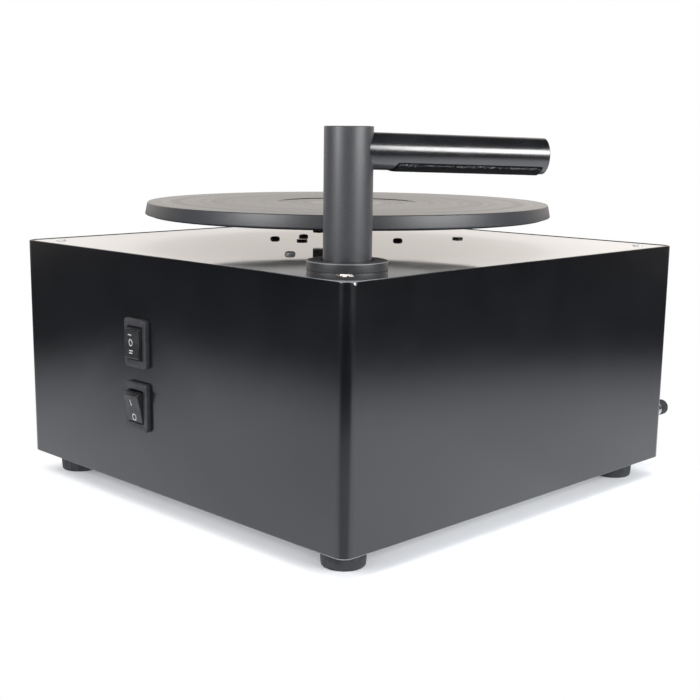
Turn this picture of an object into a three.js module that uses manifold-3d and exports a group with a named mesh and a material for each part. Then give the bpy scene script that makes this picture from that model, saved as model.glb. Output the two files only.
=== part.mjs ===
// Record cleaning machine: a sheet metal case with a turning platter, a suction arm over a waste tank,
// a vacuum motor behind a bulkhead and two rocker switches on the front.
// Millimetres, +Z up. The origin is on the floor, under the centre of the outline.
// Case places are measured from the centre of the case, with zero height at its lower edge.
import * as THREE from 'three';
import { mergeVertices } from 'three/addons/utils/BufferGeometryUtils.js';
import Module from 'manifold-3d';

const wasm = await Module();
wasm.setup();

// Case
const CASE_WIDTH = 350;
const CASE_DEPTH = 355;
const CASE_HEIGHT = 166.6;
const CASE_CORNER = 8;
const WALL = 2;
const TOP_PLATE = 2;
const TOP_PLATE_SINK = 0.4;
const BOTTOM_PLATE = 1.5;
const PLATE_GAP = 0.3;
const SEAT_GAP = 0.3;
const HOLE_CLEARANCE = 0.3;
const CUT_OVERRUN = 1;

// Corner brackets
const BRACKET_SHEET = 3;
const BRACKET_LEG = 24;
const BRACKET_TOP_TAB = 28;
const BRACKET_FOOT_TAB = 34;
const BRACKET_RELIEF = 1;

// Rubber feet
const FOOT_HEIGHT = 15;
const FOOT_TOP_RADIUS = 15.2;
const FOOT_BOTTOM_RADIUS = 14.2;
const FOOT_EDGE = 1.5;
const FOOT_INSET = 26.5;
const FOOT_STUD_RADIUS = 2.5;
const FOOT_STUD_HEIGHT = 9;

// Screws
const SCREW_INSET = 19.5;
const SCREW_RADIUS = 1.9;
const SCREW_HEAD_RADIUS = 3.8;
const SCREW_HEAD_HEIGHT = 2.2;
const SCREW_LENGTH = 9;

// Spindle, bush and hub
const SPINDLE_X = 24;
const SPINDLE_Y = -26.5;
const SHAFT_RADIUS = 4;
const SPINDLE_RADIUS = 3.6;
const SPINDLE_RISE = 16;
const SPINDLE_TIP = 2;
const BUSH_RADIUS = 9;
const BUSH_COLLAR_RADIUS = 12;
const BUSH_COLLAR = 1.5;
const BUSH_BELOW = 6;
const HUB_RADIUS = 11;
const HUB_FLANGE_RADIUS = 17;
const HUB_FLANGE = 4;
const HUB_RUNNING_GAP = 0.8;

// Platter
const PLATTER_TO_POST = 14.5;
const PLATTER_TOP_RISE = 33.1;
const PLATTER_RIM_RISE = 24.6;
const PLATTER_WEB_RISE = 27.1;
const PLATTER_RIM_WIDTH = 9;
const PLATTER_LIP = 1.2;
const PLATTER_LIP_INSET = 4;
const PLATTER_FLARE = 1.4;
const PLATTER_BEVEL = 1.2;
const PLATTER_EDGE = 0.6;
const LABEL_RADIUS = 52;
const LABEL_DEPTH = 0.5;

// Gear train
const GEAR_MODULE = 1.25;
const GEAR_TEETH = 48;
const PINION_TEETH = 12;
const GEAR_ADDENDUM_SHARE = 0.8;
const GEAR_DEDENDUM_SHARE = 1.2;
const GEAR_BACKLASH = 0.16;
const GEAR_PRESSURE_ANGLE = THREE.MathUtils.degToRad(20);
const GEAR_WIDTH = 8;
const GEAR_TOP_BELOW_PLATE = 11;
const PINION_EXTRA = 1;
const GEAR_ROOM = 2;
const GEARBOX_WALL = 2.5;
const GEARBOX_HEIGHT = 28;
const GEARBOX_CORNER = 10;
const GEARBOX_BOSS_RADIUS = 8;
const GEARBOX_PLATE = 3;
const GEARBOX_PLATE_LEFT = 64;
const GEARBOX_PLATE_RIGHT = 74;
const GEARBOX_PLATE_FRONT = 75.5;
const GEARBOX_PLATE_REAR = 78.5;
const GEARBOX_PLATE_CORNER = 8;
const GEARBOX_SCREW_FRONT_X = 11;
const GEARBOX_SCREW_FRONT_Y = -66.5;
const GEARBOX_SCREW_REAR_X = -12;
const GEARBOX_SCREW_REAR_Y = 69.5;

// Drive motor
const MOTOR_RADIUS = 30;
const MOTOR_HEIGHT = 55;
const MOTOR_SHELL = 4;
const ROTOR_RADIUS = 22;
const ROTOR_HEIGHT = 38;
const ROTOR_SHAFT_RADIUS = 3;
const CAPACITOR_RADIUS = 17;
const CAPACITOR_HEIGHT = 52;
const CAPACITOR_X = -10;
const CAPACITOR_INSET = 65.5;
const CAPACITOR_EDGE = 2;

// Arm, on its own axis
const ARM_INSET = 26.5;
const ARM_REST_ANGLE = THREE.MathUtils.degToRad(60);
const ARM_REACH = 122.5;
const ARM_AXIS_RISE = 73.1;
const ARM_DROOP = THREE.MathUtils.degToRad(1.5);
const ARM_TUBE_RADIUS = 10.9;
const ARM_TUBE_BORE = 8.9;
const ARM_SLOT_WIDTH = 2.6;
const ARM_SLOT_START = 25.5;
const ARM_SLOT_END_INSET = 6;
const ARM_CAP_LENGTH = 4;
const POST_RADIUS = 14.6;
const POST_BORE = 9.5;
const POST_TOP_RISE = 87;
const POST_TOP_WALL = 4;
const POST_EDGE = 0.6;
const POST_DEPTH = 54;
const PAD_THICKNESS = 0.8;
const PAD_START = 23.5;
const PAD_END_INSET = 3.5;
const PAD_UPPER_ANGLE = THREE.MathUtils.degToRad(37);
const PAD_LOWER_ANGLE = THREE.MathUtils.degToRad(80);
const FLANGE_RADIUS = 24.3;
const FLANGE_HEIGHT = 9.4;
const FLANGE_CLEARANCE = 1.3;
const FLANGE_EDGE = 0.5;
const FLANGE_GROOVE_RISE = 3.6;
const FLANGE_GROOVE = 0.6;

// Guide, spring and cup under the arm
const LIFT_TRAVEL = 22.5;
const GUIDE_CLEARANCE = 0.3;
const GUIDE_RADIUS = 19;
const GUIDE_LENGTH = 23;
const CUP_WALL = 2.4;
const CUP_CLEARANCE = 0.5;
const CUP_FLOOR = 3;
const CUP_OUTLET_RADIUS = 8;
const CUP_RIM_RADIUS = 20;
const CUP_RIM = 3;
const WASHER = 1.7;
const SPRING_SOLID_HEIGHT = 21;
const SPRING_WIRE = 3;

// Waste tank
const TANK_TOP_BELOW_PLATE = 43;
const TANK_LID = 3;
const TANK_GASKET = 1;
const TANK_HEIGHT = 76;
const TANK_WALL = 2;
const TANK_ROOM = 1;
const TANK_TO_MOTOR = 16;
const TANK_DEPTH = 126.5;
const TANK_CORNER = 5;
const GASKET_WIDTH = 3;
const STAND_SHEET = 2;
const STAND_INSET = 8;
const STAND_FRONT_INSET = 32;
const STAND_REAR_INSET = 12;
const PORT_X_INSET = 25;
const PORT_LENGTH = 6;
const PORT_WALL = 3;
const PORT_BELOW_RIM = 17;

// Drain at the rear
const DRAIN_INSET = 21;
const DRAIN_Z = 31;
const DRAIN_RADIUS = 4.2;
const DRAIN_BORE = 2.5;
const DRAIN_INSIDE = 14;
const DRAIN_NUT_RADIUS = 8;
const DRAIN_NUT = 4;
const DRAIN_COLLAR_RADIUS = 6;
const DRAIN_COLLAR_START = 17;
const DRAIN_COLLAR = 8;
const DRAIN_SPOUT = 32;
const DRAIN_CAP_WALL = 1.6;
const DRAIN_CAP_LENGTH = 9;
const DRAIN_PORT_RISE = 10;
const DRAIN_HOSE_RADIUS = 6;

// Vacuum motor, on an axis along X
const FAN_HEADROOM = 24.7;
const FAN_LENGTH = 44;
const FAN_SHELL = 2.5;
const FAN_INLET_RADIUS = 10;
const FAN_Y = 60;
const FAN_GROUND = 14;
const FAN_EDGE = 4;
const FAN_SEAL = 2;
const FAN_SEAL_INSET = 4;
const FAN_SEAL_WIDTH = 24;
const FAN_ROOM = 4;
const WHEEL_DISC = 3;
const WHEEL_BLADES = 8;
const WHEEL_BLADE_SHEET = 2;
const WHEEL_BLADE_LENGTH = 24;
const WHEEL_HUB_RADIUS = 12;
const WHEEL_WIDTH = 20;
const VACUUM_MOTOR_STEP = 18;
const VACUUM_MOTOR_TO_WALL = 23;
const VACUUM_SHAFT_RADIUS = 5;
const VACUUM_SHAFT_SHARE = 0.5;
const BULKHEAD_X = -44;
const BULKHEAD_SHEET = 2;
const BULKHEAD_FRONT = -40;
const BULKHEAD_REAR = 130;
const BULKHEAD_TOP_FLANGE = 30;
const BULKHEAD_BOTTOM_FLANGE = 24;
const BULKHEAD_SCREW_FRONT = -21;
const BULKHEAD_SCREW_REAR = 10;
const HOSE_RADIUS = 13;

// Front switches
const SWITCH_X = -28.6;
const MOTOR_SWITCH_Z = 105;
const VACUUM_SWITCH_Z = 60;
const BEZEL_WIDTH = 25;
const BEZEL_HEIGHT = 34.5;
const BEZEL_PROUD = 3.2;
const BEZEL_CORNER = 3;
const SWITCH_BODY_INSET = 1.7;
const SWITCH_BODY_DEPTH = 24;
const ROCKER_OPENING_WIDTH = 17.2;
const ROCKER_OPENING_HEIGHT = 23.7;
const ROCKER_POCKET = 11;
const ROCKER_SIDE_GAP = 0.3;
const ROCKER_END_GAP = 0.45;
const ROCKER_PIVOT_DEPTH = 1;
const ROCKER_RISE = 4;
const ROCKER_DISH = 0.7;
const ROCKER_FACE_HALF = 10;
const ROCKER_TAIL = 6;
const ROCKER_TAIL_HALF = 8.5;
const ROCKER_TILT = THREE.MathUtils.degToRad(12);

// Mains inlet at the rear
const INLET_INSET = 55;
const INLET_Z = 42;
const INLET_WIDTH = 31;
const INLET_HEIGHT = 48;
const INLET_FLANGE = 2.5;
const INLET_CORNER = 3;
const INLET_BODY_INSET = 2;
const INLET_BODY_DEPTH = 27;
const SOCKET_WIDTH = 24.5;
const SOCKET_HEIGHT = 17;
const SOCKET_DEPTH = 20;
const SOCKET_RISE = 9;
const CONTACT_BASE = 2;
const CONTACT_LENGTH = 12;
const CONTACT_WIDTH = 2;
const CONTACT_HEIGHT = 4;
const CONTACT_SPACING = 7;
const CONTACT_EARTH_RISE = 4;
const FUSE_WIDTH = 22;
const FUSE_HEIGHT = 9;
const FUSE_DROP = 12.5;
const FUSE_DEPTH = 22;
const FUSE_LIP = 1;

// Exhaust slots in the rear wall
const VENT_COUNT = 10;
const VENT_PITCH = 9;
const VENT_WIDTH = 4;
const VENT_HEIGHT = 44;
const VENT_INSET = 75;
const VENT_Z = 108;

// Leads inside the case
const LEAD_RADIUS = 3;

// Round sections
const FINE_SIDES = 64;
const ROUND_SIDES = 32;
const SMALL_SIDES = 16;
const SCREW_SIDES = 10;
const HALF_HOSE_SIDES = 5;
const HALF_LEAD_SIDES = 3;
const HALF_CORNER_SIDES = 2;

// Places worked out from the sizes above
const right = CASE_WIDTH / 2;
const back = CASE_DEPTH / 2;
const innerRight = right - WALL;
const innerBack = back - WALL;
const plateTop = CASE_HEIGHT - TOP_PLATE_SINK;
const plateUnder = plateTop - TOP_PLATE;
const armX = right - ARM_INSET;
const armY = ARM_INSET - back;
const armAxisZ = CASE_HEIGHT + ARM_AXIS_RISE;
const platterTop = CASE_HEIGHT + PLATTER_TOP_RISE;
const platterRadius = Math.hypot(armX - SPINDLE_X, armY - SPINDLE_Y) - POST_RADIUS - PLATTER_TO_POST;
const gearRadius = GEAR_MODULE * GEAR_TEETH / 2;
const pinionRadius = GEAR_MODULE * PINION_TEETH / 2;
const motorY = SPINDLE_Y - gearRadius - pinionRadius;
const gearboxTop = plateUnder - GEARBOX_PLATE;
const gearboxBottom = gearboxTop - GEARBOX_HEIGHT;
const gearTop = gearboxTop - GEAR_TOP_BELOW_PLATE;
const gearBottom = gearTop - GEAR_WIDTH;
const postBottom = CASE_HEIGHT - POST_DEPTH;
const washerTop = postBottom - SEAT_GAP;
const washerBottom = washerTop - WASHER;
const cupFloorTop = washerBottom - LIFT_TRAVEL - SPRING_SOLID_HEIGHT;
const cupRadius = POST_RADIUS + CUP_CLEARANCE + CUP_WALL;
const guideBottom = plateUnder - GUIDE_LENGTH;
const tankTop = plateUnder - TANK_TOP_BELOW_PLATE - TANK_LID - TANK_GASKET;
const tankBottom = tankTop - TANK_HEIGHT;
const tankRight = armX + cupRadius + TANK_ROOM + TANK_WALL;
const tankLeft = SPINDLE_X + MOTOR_RADIUS + TANK_TO_MOTOR;
const tankFront = armY - cupRadius - TANK_ROOM - TANK_WALL;
const tankRear = tankFront + TANK_DEPTH;
const lidBottom = tankTop + TANK_GASKET;
const lidTop = lidBottom + TANK_LID;
const portX = tankLeft + PORT_X_INSET;
const portZ = tankTop - PORT_BELOW_RIM;
const drainX = right - DRAIN_INSET;
const fanRadius = (plateUnder - FAN_HEADROOM - BOTTOM_PLATE - FAN_GROUND) / 2;
const fanZ = BOTTOM_PLATE + FAN_GROUND + fanRadius;
const fanFront = BULKHEAD_X - BULKHEAD_SHEET - FAN_SEAL;
const fanRear = fanFront - FAN_LENGTH;
const vacuumMotorEnd = VACUUM_MOTOR_TO_WALL - innerRight;
const inletX = INLET_INSET - right;
const ventX = VENT_INSET - right;
const switchFront = -back - BEZEL_PROUD;

function finish(color, roughness, metalness) {
  return new THREE.MeshStandardMaterial({ color, roughness, metalness });
}

const blackPaint = finish(0x1b1c1f, 0.45, 0.1);
const glossBlack = finish(0x101113, 0.08, 0.2);
const glossTaupe = finish(0x76726c, 0.06, 0.1);
const platterBlack = finish(0x2a2b2e, 0.4, 0.3);
const greyPlastic = finish(0x4a4b4e, 0.45, 0.1);
const blackPlastic = finish(0x1c1d1f, 0.5, 0);
const blackRubber = finish(0x26282a, 0.85, 0);
const velvet = finish(0x0c0c0e, 1, 0);
const steel = finish(0xb4b6b8, 0.3, 0.95);
const blackSteel = finish(0x17181a, 0.35, 0.7);
const galvanised = finish(0x9a9d9f, 0.45, 0.8);
const aluminium = finish(0xb8babc, 0.4, 0.9);
const bronze = finish(0x8c6a3c, 0.4, 0.9);
const nylon = finish(0xd8d4c6, 0.6, 0);
const tankPlastic = finish(0xd9dad6, 0.5, 0);
const nickel = finish(0xc4c5c6, 0.22, 1);
const drawerPlastic = finish(0x2b2c2e, 0.55, 0);

function vec(x, y) {
  return new THREE.Vector2(x, y);
}

function block(x0, x1, y0, y1, z0, z1) {
  const geometry = new THREE.BoxGeometry(Math.abs(x1 - x0), Math.abs(y1 - y0), Math.abs(z1 - z0));
  return geometry.translate((x0 + x1) / 2, (y0 + y1) / 2, (z0 + z1) / 2);
}

function revolve(points, sides) {
  return new THREE.LatheGeometry(points, sides).rotateX(Math.PI / 2);
}

function rod(radius, z0, z1, sides) {
  return revolve([vec(0, z0), vec(radius, z0), vec(radius, z1), vec(0, z1)], sides);
}

function ring(inner, outer, z0, z1, sides) {
  return revolve([vec(inner, z0), vec(outer, z0), vec(outer, z1), vec(inner, z1), vec(inner, z0)], sides);
}

function extrude(shape, z0, z1) {
  const settings = { depth: z1 - z0, bevelEnabled: false, curveSegments: HALF_CORNER_SIDES };
  return new THREE.ExtrudeGeometry(shape, settings).translate(0, 0, z0);
}

function roundedOutline(target, x0, x1, y0, y1, radius) {
  target.moveTo(x0 + radius, y0);
  target.lineTo(x1 - radius, y0);
  target.absarc(x1 - radius, y0 + radius, radius, -Math.PI / 2, 0, false);
  target.lineTo(x1, y1 - radius);
  target.absarc(x1 - radius, y1 - radius, radius, 0, Math.PI / 2, false);
  target.lineTo(x0 + radius, y1);
  target.absarc(x0 + radius, y1 - radius, radius, Math.PI / 2, Math.PI, false);
  target.lineTo(x0, y0 + radius);
  target.absarc(x0 + radius, y0 + radius, radius, Math.PI, Math.PI * 1.5, false);
  return target;
}

function roundedBlock(x0, x1, y0, y1, z0, z1, radius) {
  return extrude(roundedOutline(new THREE.Shape(), x0, x1, y0, y1, radius), z0, z1);
}

// A rounded plate that stands in the X-Z plane and runs along Y
function standingBlock(x0, x1, y0, y1, z0, z1, radius) {
  return roundedBlock(x0, x1, z0, z1, -y1, -y0, radius).rotateX(Math.PI / 2);
}

function alongX(geometry) {
  return geometry.rotateY(Math.PI / 2);
}

function alongY(geometry) {
  return geometry.rotateX(-Math.PI / 2);
}

function solid(geometry) {
  const bare = geometry.clone();
  bare.deleteAttribute('normal');
  bare.deleteAttribute('uv');
  const merged = mergeVertices(bare, 1e-4);
  const vertProperties = new Float32Array(merged.attributes.position.array);
  const triVerts = new Uint32Array(merged.index.array);
  return new wasm.Manifold(new wasm.Mesh({ numProp: 3, vertProperties, triVerts }));
}

function shell(manifold) {
  const mesh = manifold.getMesh();
  const geometry = new THREE.BufferGeometry();
  geometry.setAttribute('position', new THREE.BufferAttribute(new Float32Array(mesh.vertProperties), 3));
  geometry.setIndex(new THREE.BufferAttribute(new Uint32Array(mesh.triVerts), 1));
  geometry.computeVertexNormals();
  return geometry;
}

function cut(base, ...tools) {
  return shell(tools.reduce((result, tool) => result.subtract(solid(tool)), solid(base)));
}

function join(base, ...others) {
  return shell(others.reduce((result, other) => result.add(solid(other)), solid(base)));
}

function common(base, other) {
  return shell(solid(base).intersect(solid(other)));
}

function piece(name, geometry, material, parent) {
  const mesh = new THREE.Mesh(geometry, material);
  mesh.name = name;
  parent.add(mesh);
  return mesh;
}

function tubeAlong(points, radius, steps, halfSides) {
  const curve = new THREE.CatmullRomCurve3(points);
  const section = new THREE.Shape();
  section.absarc(0, 0, radius, 0, Math.PI * 2, false);
  const settings = { steps, extrudePath: curve, curveSegments: halfSides, bevelEnabled: false };
  return new THREE.ExtrudeGeometry(section, settings);
}

const machine = new THREE.Group();

// Case
function drainHole() {
  const hole = rod(DRAIN_RADIUS + HOLE_CLEARANCE, innerBack - DRAIN_INSIDE, back + CUT_OVERRUN, SMALL_SIDES);
  return alongY(hole).translate(drainX, 0, DRAIN_Z);
}

function makeHousing() {
  const outline = roundedOutline(new THREE.Shape(), -right, right, -back, back, CASE_CORNER);
  const inside = new THREE.Path();
  roundedOutline(inside, -innerRight, innerRight, -innerBack, innerBack, CASE_CORNER - WALL);
  outline.holes.push(inside);
  const walls = extrude(outline, 0, CASE_HEIGHT);
  const cuts = [MOTOR_SWITCH_Z, VACUUM_SWITCH_Z].map((z) => {
    const halfWidth = BEZEL_WIDTH / 2 - SWITCH_BODY_INSET + HOLE_CLEARANCE;
    const halfHeight = BEZEL_HEIGHT / 2 - SWITCH_BODY_INSET + HOLE_CLEARANCE;
    const y0 = -back - CUT_OVERRUN;
    const y1 = CUT_OVERRUN - innerBack;
    return block(SWITCH_X - halfWidth, SWITCH_X + halfWidth, y0, y1, z - halfHeight, z + halfHeight);
  });
  const inletHalf = INLET_WIDTH / 2 - INLET_BODY_INSET + HOLE_CLEARANCE;
  const inletTall = INLET_HEIGHT / 2 - INLET_BODY_INSET + HOLE_CLEARANCE;
  const rear0 = innerBack - CUT_OVERRUN;
  const rear1 = back + CUT_OVERRUN;
  cuts.push(block(inletX - inletHalf, inletX + inletHalf, rear0, rear1, INLET_Z - inletTall, INLET_Z + inletTall));
  cuts.push(drainHole());
  for (let i = 0; i < VENT_COUNT; i += 1) {
    const x = ventX + (i - (VENT_COUNT - 1) / 2) * VENT_PITCH;
    const low = VENT_Z - VENT_HEIGHT / 2;
    cuts.push(block(x - VENT_WIDTH / 2, x + VENT_WIDTH / 2, rear0, rear1, low, low + VENT_HEIGHT));
  }
  return cut(walls, ...cuts);
}

function screwPlaces() {
  const x = right - SCREW_INSET;
  const y = back - SCREW_INSET;
  return [['front_left', -x, -y], ['rear_left', -x, y], ['rear_right', x, y]];
}

const bulkheadScrewX = BULKHEAD_X - BULKHEAD_SHEET - BULKHEAD_TOP_FLANGE / 2;
const plateScrews = [
  ['bulkhead_screw_front', bulkheadScrewX, BULKHEAD_SCREW_FRONT, blackSteel],
  ['bulkhead_screw_rear', bulkheadScrewX, BULKHEAD_SCREW_REAR, blackSteel],
  ['gearbox_screw_front', SPINDLE_X + GEARBOX_SCREW_FRONT_X, SPINDLE_Y + GEARBOX_SCREW_FRONT_Y, steel],
  ['gearbox_screw_rear', SPINDLE_X + GEARBOX_SCREW_REAR_X, SPINDLE_Y + GEARBOX_SCREW_REAR_Y, blackSteel],
];

function screwHole(x, y, z0, z1) {
  return rod(SCREW_RADIUS + HOLE_CLEARANCE, z0 - CUT_OVERRUN, z1 + CUT_OVERRUN, SCREW_SIDES).translate(x, y, 0);
}

function makeTopPlate() {
  const x1 = innerRight - PLATE_GAP;
  const y1 = innerBack - PLATE_GAP;
  const plate = roundedBlock(-x1, x1, -y1, y1, plateUnder, plateTop, CASE_CORNER - WALL);
  const low = plateUnder - CUT_OVERRUN;
  const high = plateTop + CUT_OVERRUN;
  const holes = screwPlaces().map(([, x, y]) => screwHole(x, y, plateUnder, plateTop));
  plateScrews.forEach(([, x, y]) => holes.push(screwHole(x, y, plateUnder, plateTop)));
  holes.push(rod(BUSH_RADIUS + HOLE_CLEARANCE, low, high, SMALL_SIDES).translate(SPINDLE_X, SPINDLE_Y, 0));
  holes.push(rod(POST_RADIUS + FLANGE_CLEARANCE, low, high, ROUND_SIDES).translate(armX, armY, 0));
  return cut(plate, ...holes);
}

function footPlaces() {
  const x = right - FOOT_INSET;
  const y = back - FOOT_INSET;
  return [['front_left', -x, -y], ['front_right', x, -y], ['rear_left', -x, y], ['rear_right', x, y]];
}

function studHole(x, y, z0, z1) {
  const radius = FOOT_STUD_RADIUS + HOLE_CLEARANCE;
  return rod(radius, z0 - CUT_OVERRUN, z1 + CUT_OVERRUN, SCREW_SIDES).translate(x, y, 0);
}

function makeBottomPlate() {
  const x1 = innerRight - PLATE_GAP;
  const y1 = innerBack - PLATE_GAP;
  const plate = roundedBlock(-x1, x1, -y1, y1, 0, BOTTOM_PLATE, CASE_CORNER - WALL);
  return cut(plate, ...footPlaces().map(([, x, y]) => studHole(x, y, 0, BOTTOM_PLATE)));
}

function makeFoot() {
  const points = [
    vec(0, -FOOT_HEIGHT),
    vec(FOOT_BOTTOM_RADIUS - FOOT_EDGE, -FOOT_HEIGHT),
    vec(FOOT_BOTTOM_RADIUS, FOOT_EDGE - FOOT_HEIGHT),
    vec(FOOT_TOP_RADIUS, 0),
    vec(FOOT_STUD_RADIUS, 0),
    vec(FOOT_STUD_RADIUS, FOOT_STUD_HEIGHT),
    vec(0, FOOT_STUD_HEIGHT),
  ];
  return revolve(points, SMALL_SIDES);
}

// An angle with a tab at its foot, and one at its head where the arm leaves room for it
function makeBracket(sideX, sideY, withHead) {
  const x0 = sideX * innerRight;
  const y0 = sideY * innerBack;
  const inX = (depth) => x0 - sideX * depth;
  const inY = (depth) => y0 - sideY * depth;
  const low = BOTTOM_PLATE;
  const parts = [
    block(x0, inX(BRACKET_LEG), y0, inY(BRACKET_SHEET), low, plateUnder),
    block(x0, inX(BRACKET_FOOT_TAB), y0, inY(BRACKET_FOOT_TAB), low, low + BRACKET_SHEET),
  ];
  if (withHead) {
    parts.push(block(x0, inX(BRACKET_TOP_TAB), y0, inY(BRACKET_TOP_TAB), plateUnder - BRACKET_SHEET, plateUnder));
  }
  const angle = join(block(x0, inX(BRACKET_SHEET), y0, inY(BRACKET_LEG), low, plateUnder), ...parts);
  const relief = CASE_CORNER - WALL + BRACKET_RELIEF;
  const inside = roundedBlock(-innerRight, innerRight, -innerBack, innerBack, 0, CASE_HEIGHT, relief);
  const footX = sideX * (right - FOOT_INSET);
  const footY = sideY * (back - FOOT_INSET);
  const holes = [studHole(footX, footY, low, low + BRACKET_SHEET)];
  if (withHead) {
    const screwX = sideX * (right - SCREW_INSET);
    const screwY = sideY * (back - SCREW_INSET);
    holes.push(screwHole(screwX, screwY, plateUnder - BRACKET_SHEET, plateUnder));
  }
  if (sideX > 0 && sideY > 0) {
    holes.push(drainHole());
  }
  return cut(common(angle, inside), ...holes);
}

function makeScrew() {
  const points = [
    vec(0, -SCREW_LENGTH),
    vec(SCREW_RADIUS, -SCREW_LENGTH),
    vec(SCREW_RADIUS, 0),
    vec(SCREW_HEAD_RADIUS, 0),
    vec(SCREW_HEAD_RADIUS, SCREW_HEAD_HEIGHT * 0.45),
    vec(SCREW_HEAD_RADIUS * 0.7, SCREW_HEAD_HEIGHT * 0.88),
    vec(0, SCREW_HEAD_HEIGHT),
  ];
  return revolve(points, SCREW_SIDES);
}

piece('housing', makeHousing(), blackPaint, machine);
piece('top_plate', makeTopPlate(), glossTaupe, machine);
piece('bottom_plate', makeBottomPlate(), galvanised, machine);
footPlaces().forEach(([place, x, y]) => {
  piece(`foot_${place}`, makeFoot(), blackRubber, machine).position.set(x, y, 0);
  const withHead = place !== 'front_right';
  piece(`corner_bracket_${place}`, makeBracket(Math.sign(x), Math.sign(y), withHead), galvanised, machine);
});
screwPlaces().forEach(([place, x, y]) => {
  piece(`plate_screw_${place}`, makeScrew(), steel, machine).position.set(x, y, plateTop);
});
plateScrews.forEach(([name, x, y, material]) => {
  piece(name, makeScrew(), material, machine).position.set(x, y, plateTop);
});

// Platter and spindle
function makePlatter() {
  const web = CASE_HEIGHT + PLATTER_WEB_RISE;
  const rim = CASE_HEIGHT + PLATTER_RIM_RISE;
  const bore = SHAFT_RADIUS + HOLE_CLEARANCE;
  const rimInner = platterRadius - PLATTER_RIM_WIDTH;
  const points = [
    vec(bore, web),
    vec(rimInner, web),
    vec(rimInner, rim - PLATTER_LIP),
    vec(platterRadius - PLATTER_LIP_INSET, rim - PLATTER_LIP),
    vec(platterRadius - PLATTER_LIP_INSET, rim),
    vec(platterRadius - PLATTER_EDGE, rim),
    vec(platterRadius, rim + PLATTER_EDGE),
    vec(platterRadius - PLATTER_FLARE, platterTop - PLATTER_BEVEL),
    vec(platterRadius - PLATTER_FLARE - PLATTER_BEVEL, platterTop),
    vec(LABEL_RADIUS, platterTop),
    vec(LABEL_RADIUS - LABEL_DEPTH, platterTop - LABEL_DEPTH),
    vec(bore, platterTop - LABEL_DEPTH),
    vec(bore, web),
  ];
  return revolve(points, FINE_SIDES);
}

function makeHub() {
  const bore = SHAFT_RADIUS + HOLE_CLEARANCE;
  const top = CASE_HEIGHT + PLATTER_WEB_RISE;
  const bottom = plateTop + BUSH_COLLAR + HUB_RUNNING_GAP;
  const points = [
    vec(bore, bottom),
    vec(HUB_RADIUS, bottom),
    vec(HUB_RADIUS, top - HUB_FLANGE),
    vec(HUB_FLANGE_RADIUS, top - HUB_FLANGE),
    vec(HUB_FLANGE_RADIUS, top),
    vec(bore, top),
    vec(bore, bottom),
  ];
  return revolve(points, ROUND_SIDES);
}

const shaftBottom = gearboxBottom + GEARBOX_WALL + SEAT_GAP;

function makeShaft() {
  const shoulder = platterTop - LABEL_DEPTH;
  const tip = platterTop + SPINDLE_RISE;
  const points = [
    vec(0, shaftBottom),
    vec(SHAFT_RADIUS, shaftBottom),
    vec(SHAFT_RADIUS, shoulder),
    vec(SPINDLE_RADIUS, shoulder),
    vec(SPINDLE_RADIUS, tip - SPINDLE_TIP),
    vec(SPINDLE_RADIUS / 2, tip),
    vec(0, tip),
  ];
  return revolve(points, SMALL_SIDES);
}

function makeBush() {
  const bore = SHAFT_RADIUS + GUIDE_CLEARANCE;
  const bottom = gearboxTop - BUSH_BELOW;
  const points = [
    vec(bore, bottom),
    vec(BUSH_RADIUS, bottom),
    vec(BUSH_RADIUS, plateTop),
    vec(BUSH_COLLAR_RADIUS, plateTop),
    vec(BUSH_COLLAR_RADIUS, plateTop + BUSH_COLLAR),
    vec(bore, plateTop + BUSH_COLLAR),
    vec(bore, bottom),
  ];
  return revolve(points, SMALL_SIDES);
}

// Straight-sided teeth with backlash, one of them centred on the phase angle
function gearOutline(teeth, phase) {
  const pitchRadius = GEAR_MODULE * teeth / 2;
  const tip = pitchRadius + GEAR_MODULE * GEAR_ADDENDUM_SHARE;
  const root = pitchRadius - GEAR_MODULE * GEAR_DEDENDUM_SHARE;
  const halfAngle = (radius) => {
    const lean = (radius - pitchRadius) * Math.tan(GEAR_PRESSURE_ANGLE);
    return (Math.PI * GEAR_MODULE / 4 - GEAR_BACKLASH - lean) / radius;
  };
  const outline = new THREE.Shape();
  for (let i = 0; i < teeth; i += 1) {
    const centre = phase + i * Math.PI * 2 / teeth;
    const corners = [
      [root, centre - halfAngle(root)],
      [tip, centre - halfAngle(tip)],
      [tip, centre + halfAngle(tip)],
      [root, centre + halfAngle(root)],
    ];
    corners.forEach(([radius, angle], j) => {
      const draw = i === 0 && j === 0 ? 'moveTo' : 'lineTo';
      outline[draw](radius * Math.cos(angle), radius * Math.sin(angle));
    });
  }
  outline.closePath();
  return outline;
}

function makeDriveGear() {
  const outline = gearOutline(GEAR_TEETH, 0);
  const bore = rod(SHAFT_RADIUS + HOLE_CLEARANCE, gearBottom - CUT_OVERRUN, gearTop + CUT_OVERRUN, SMALL_SIDES);
  return cut(extrude(outline, gearBottom, gearTop), bore);
}

const rotorBottom = gearboxBottom - MOTOR_HEIGHT + MOTOR_SHELL + SEAT_GAP;
const pinionTop = gearTop + PINION_EXTRA;

function makeRotor() {
  const points = [
    vec(0, rotorBottom),
    vec(ROTOR_RADIUS, rotorBottom),
    vec(ROTOR_RADIUS, rotorBottom + ROTOR_HEIGHT),
    vec(ROTOR_SHAFT_RADIUS, rotorBottom + ROTOR_HEIGHT),
    vec(ROTOR_SHAFT_RADIUS, gearTop),
    vec(0, gearTop),
  ];
  const teeth = extrude(gearOutline(PINION_TEETH, Math.PI / PINION_TEETH), gearBottom - PINION_EXTRA, pinionTop);
  return join(revolve(points, SMALL_SIDES), teeth);
}

const rotorRoom = ROTOR_RADIUS + MOTOR_SHELL / 4;

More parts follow.
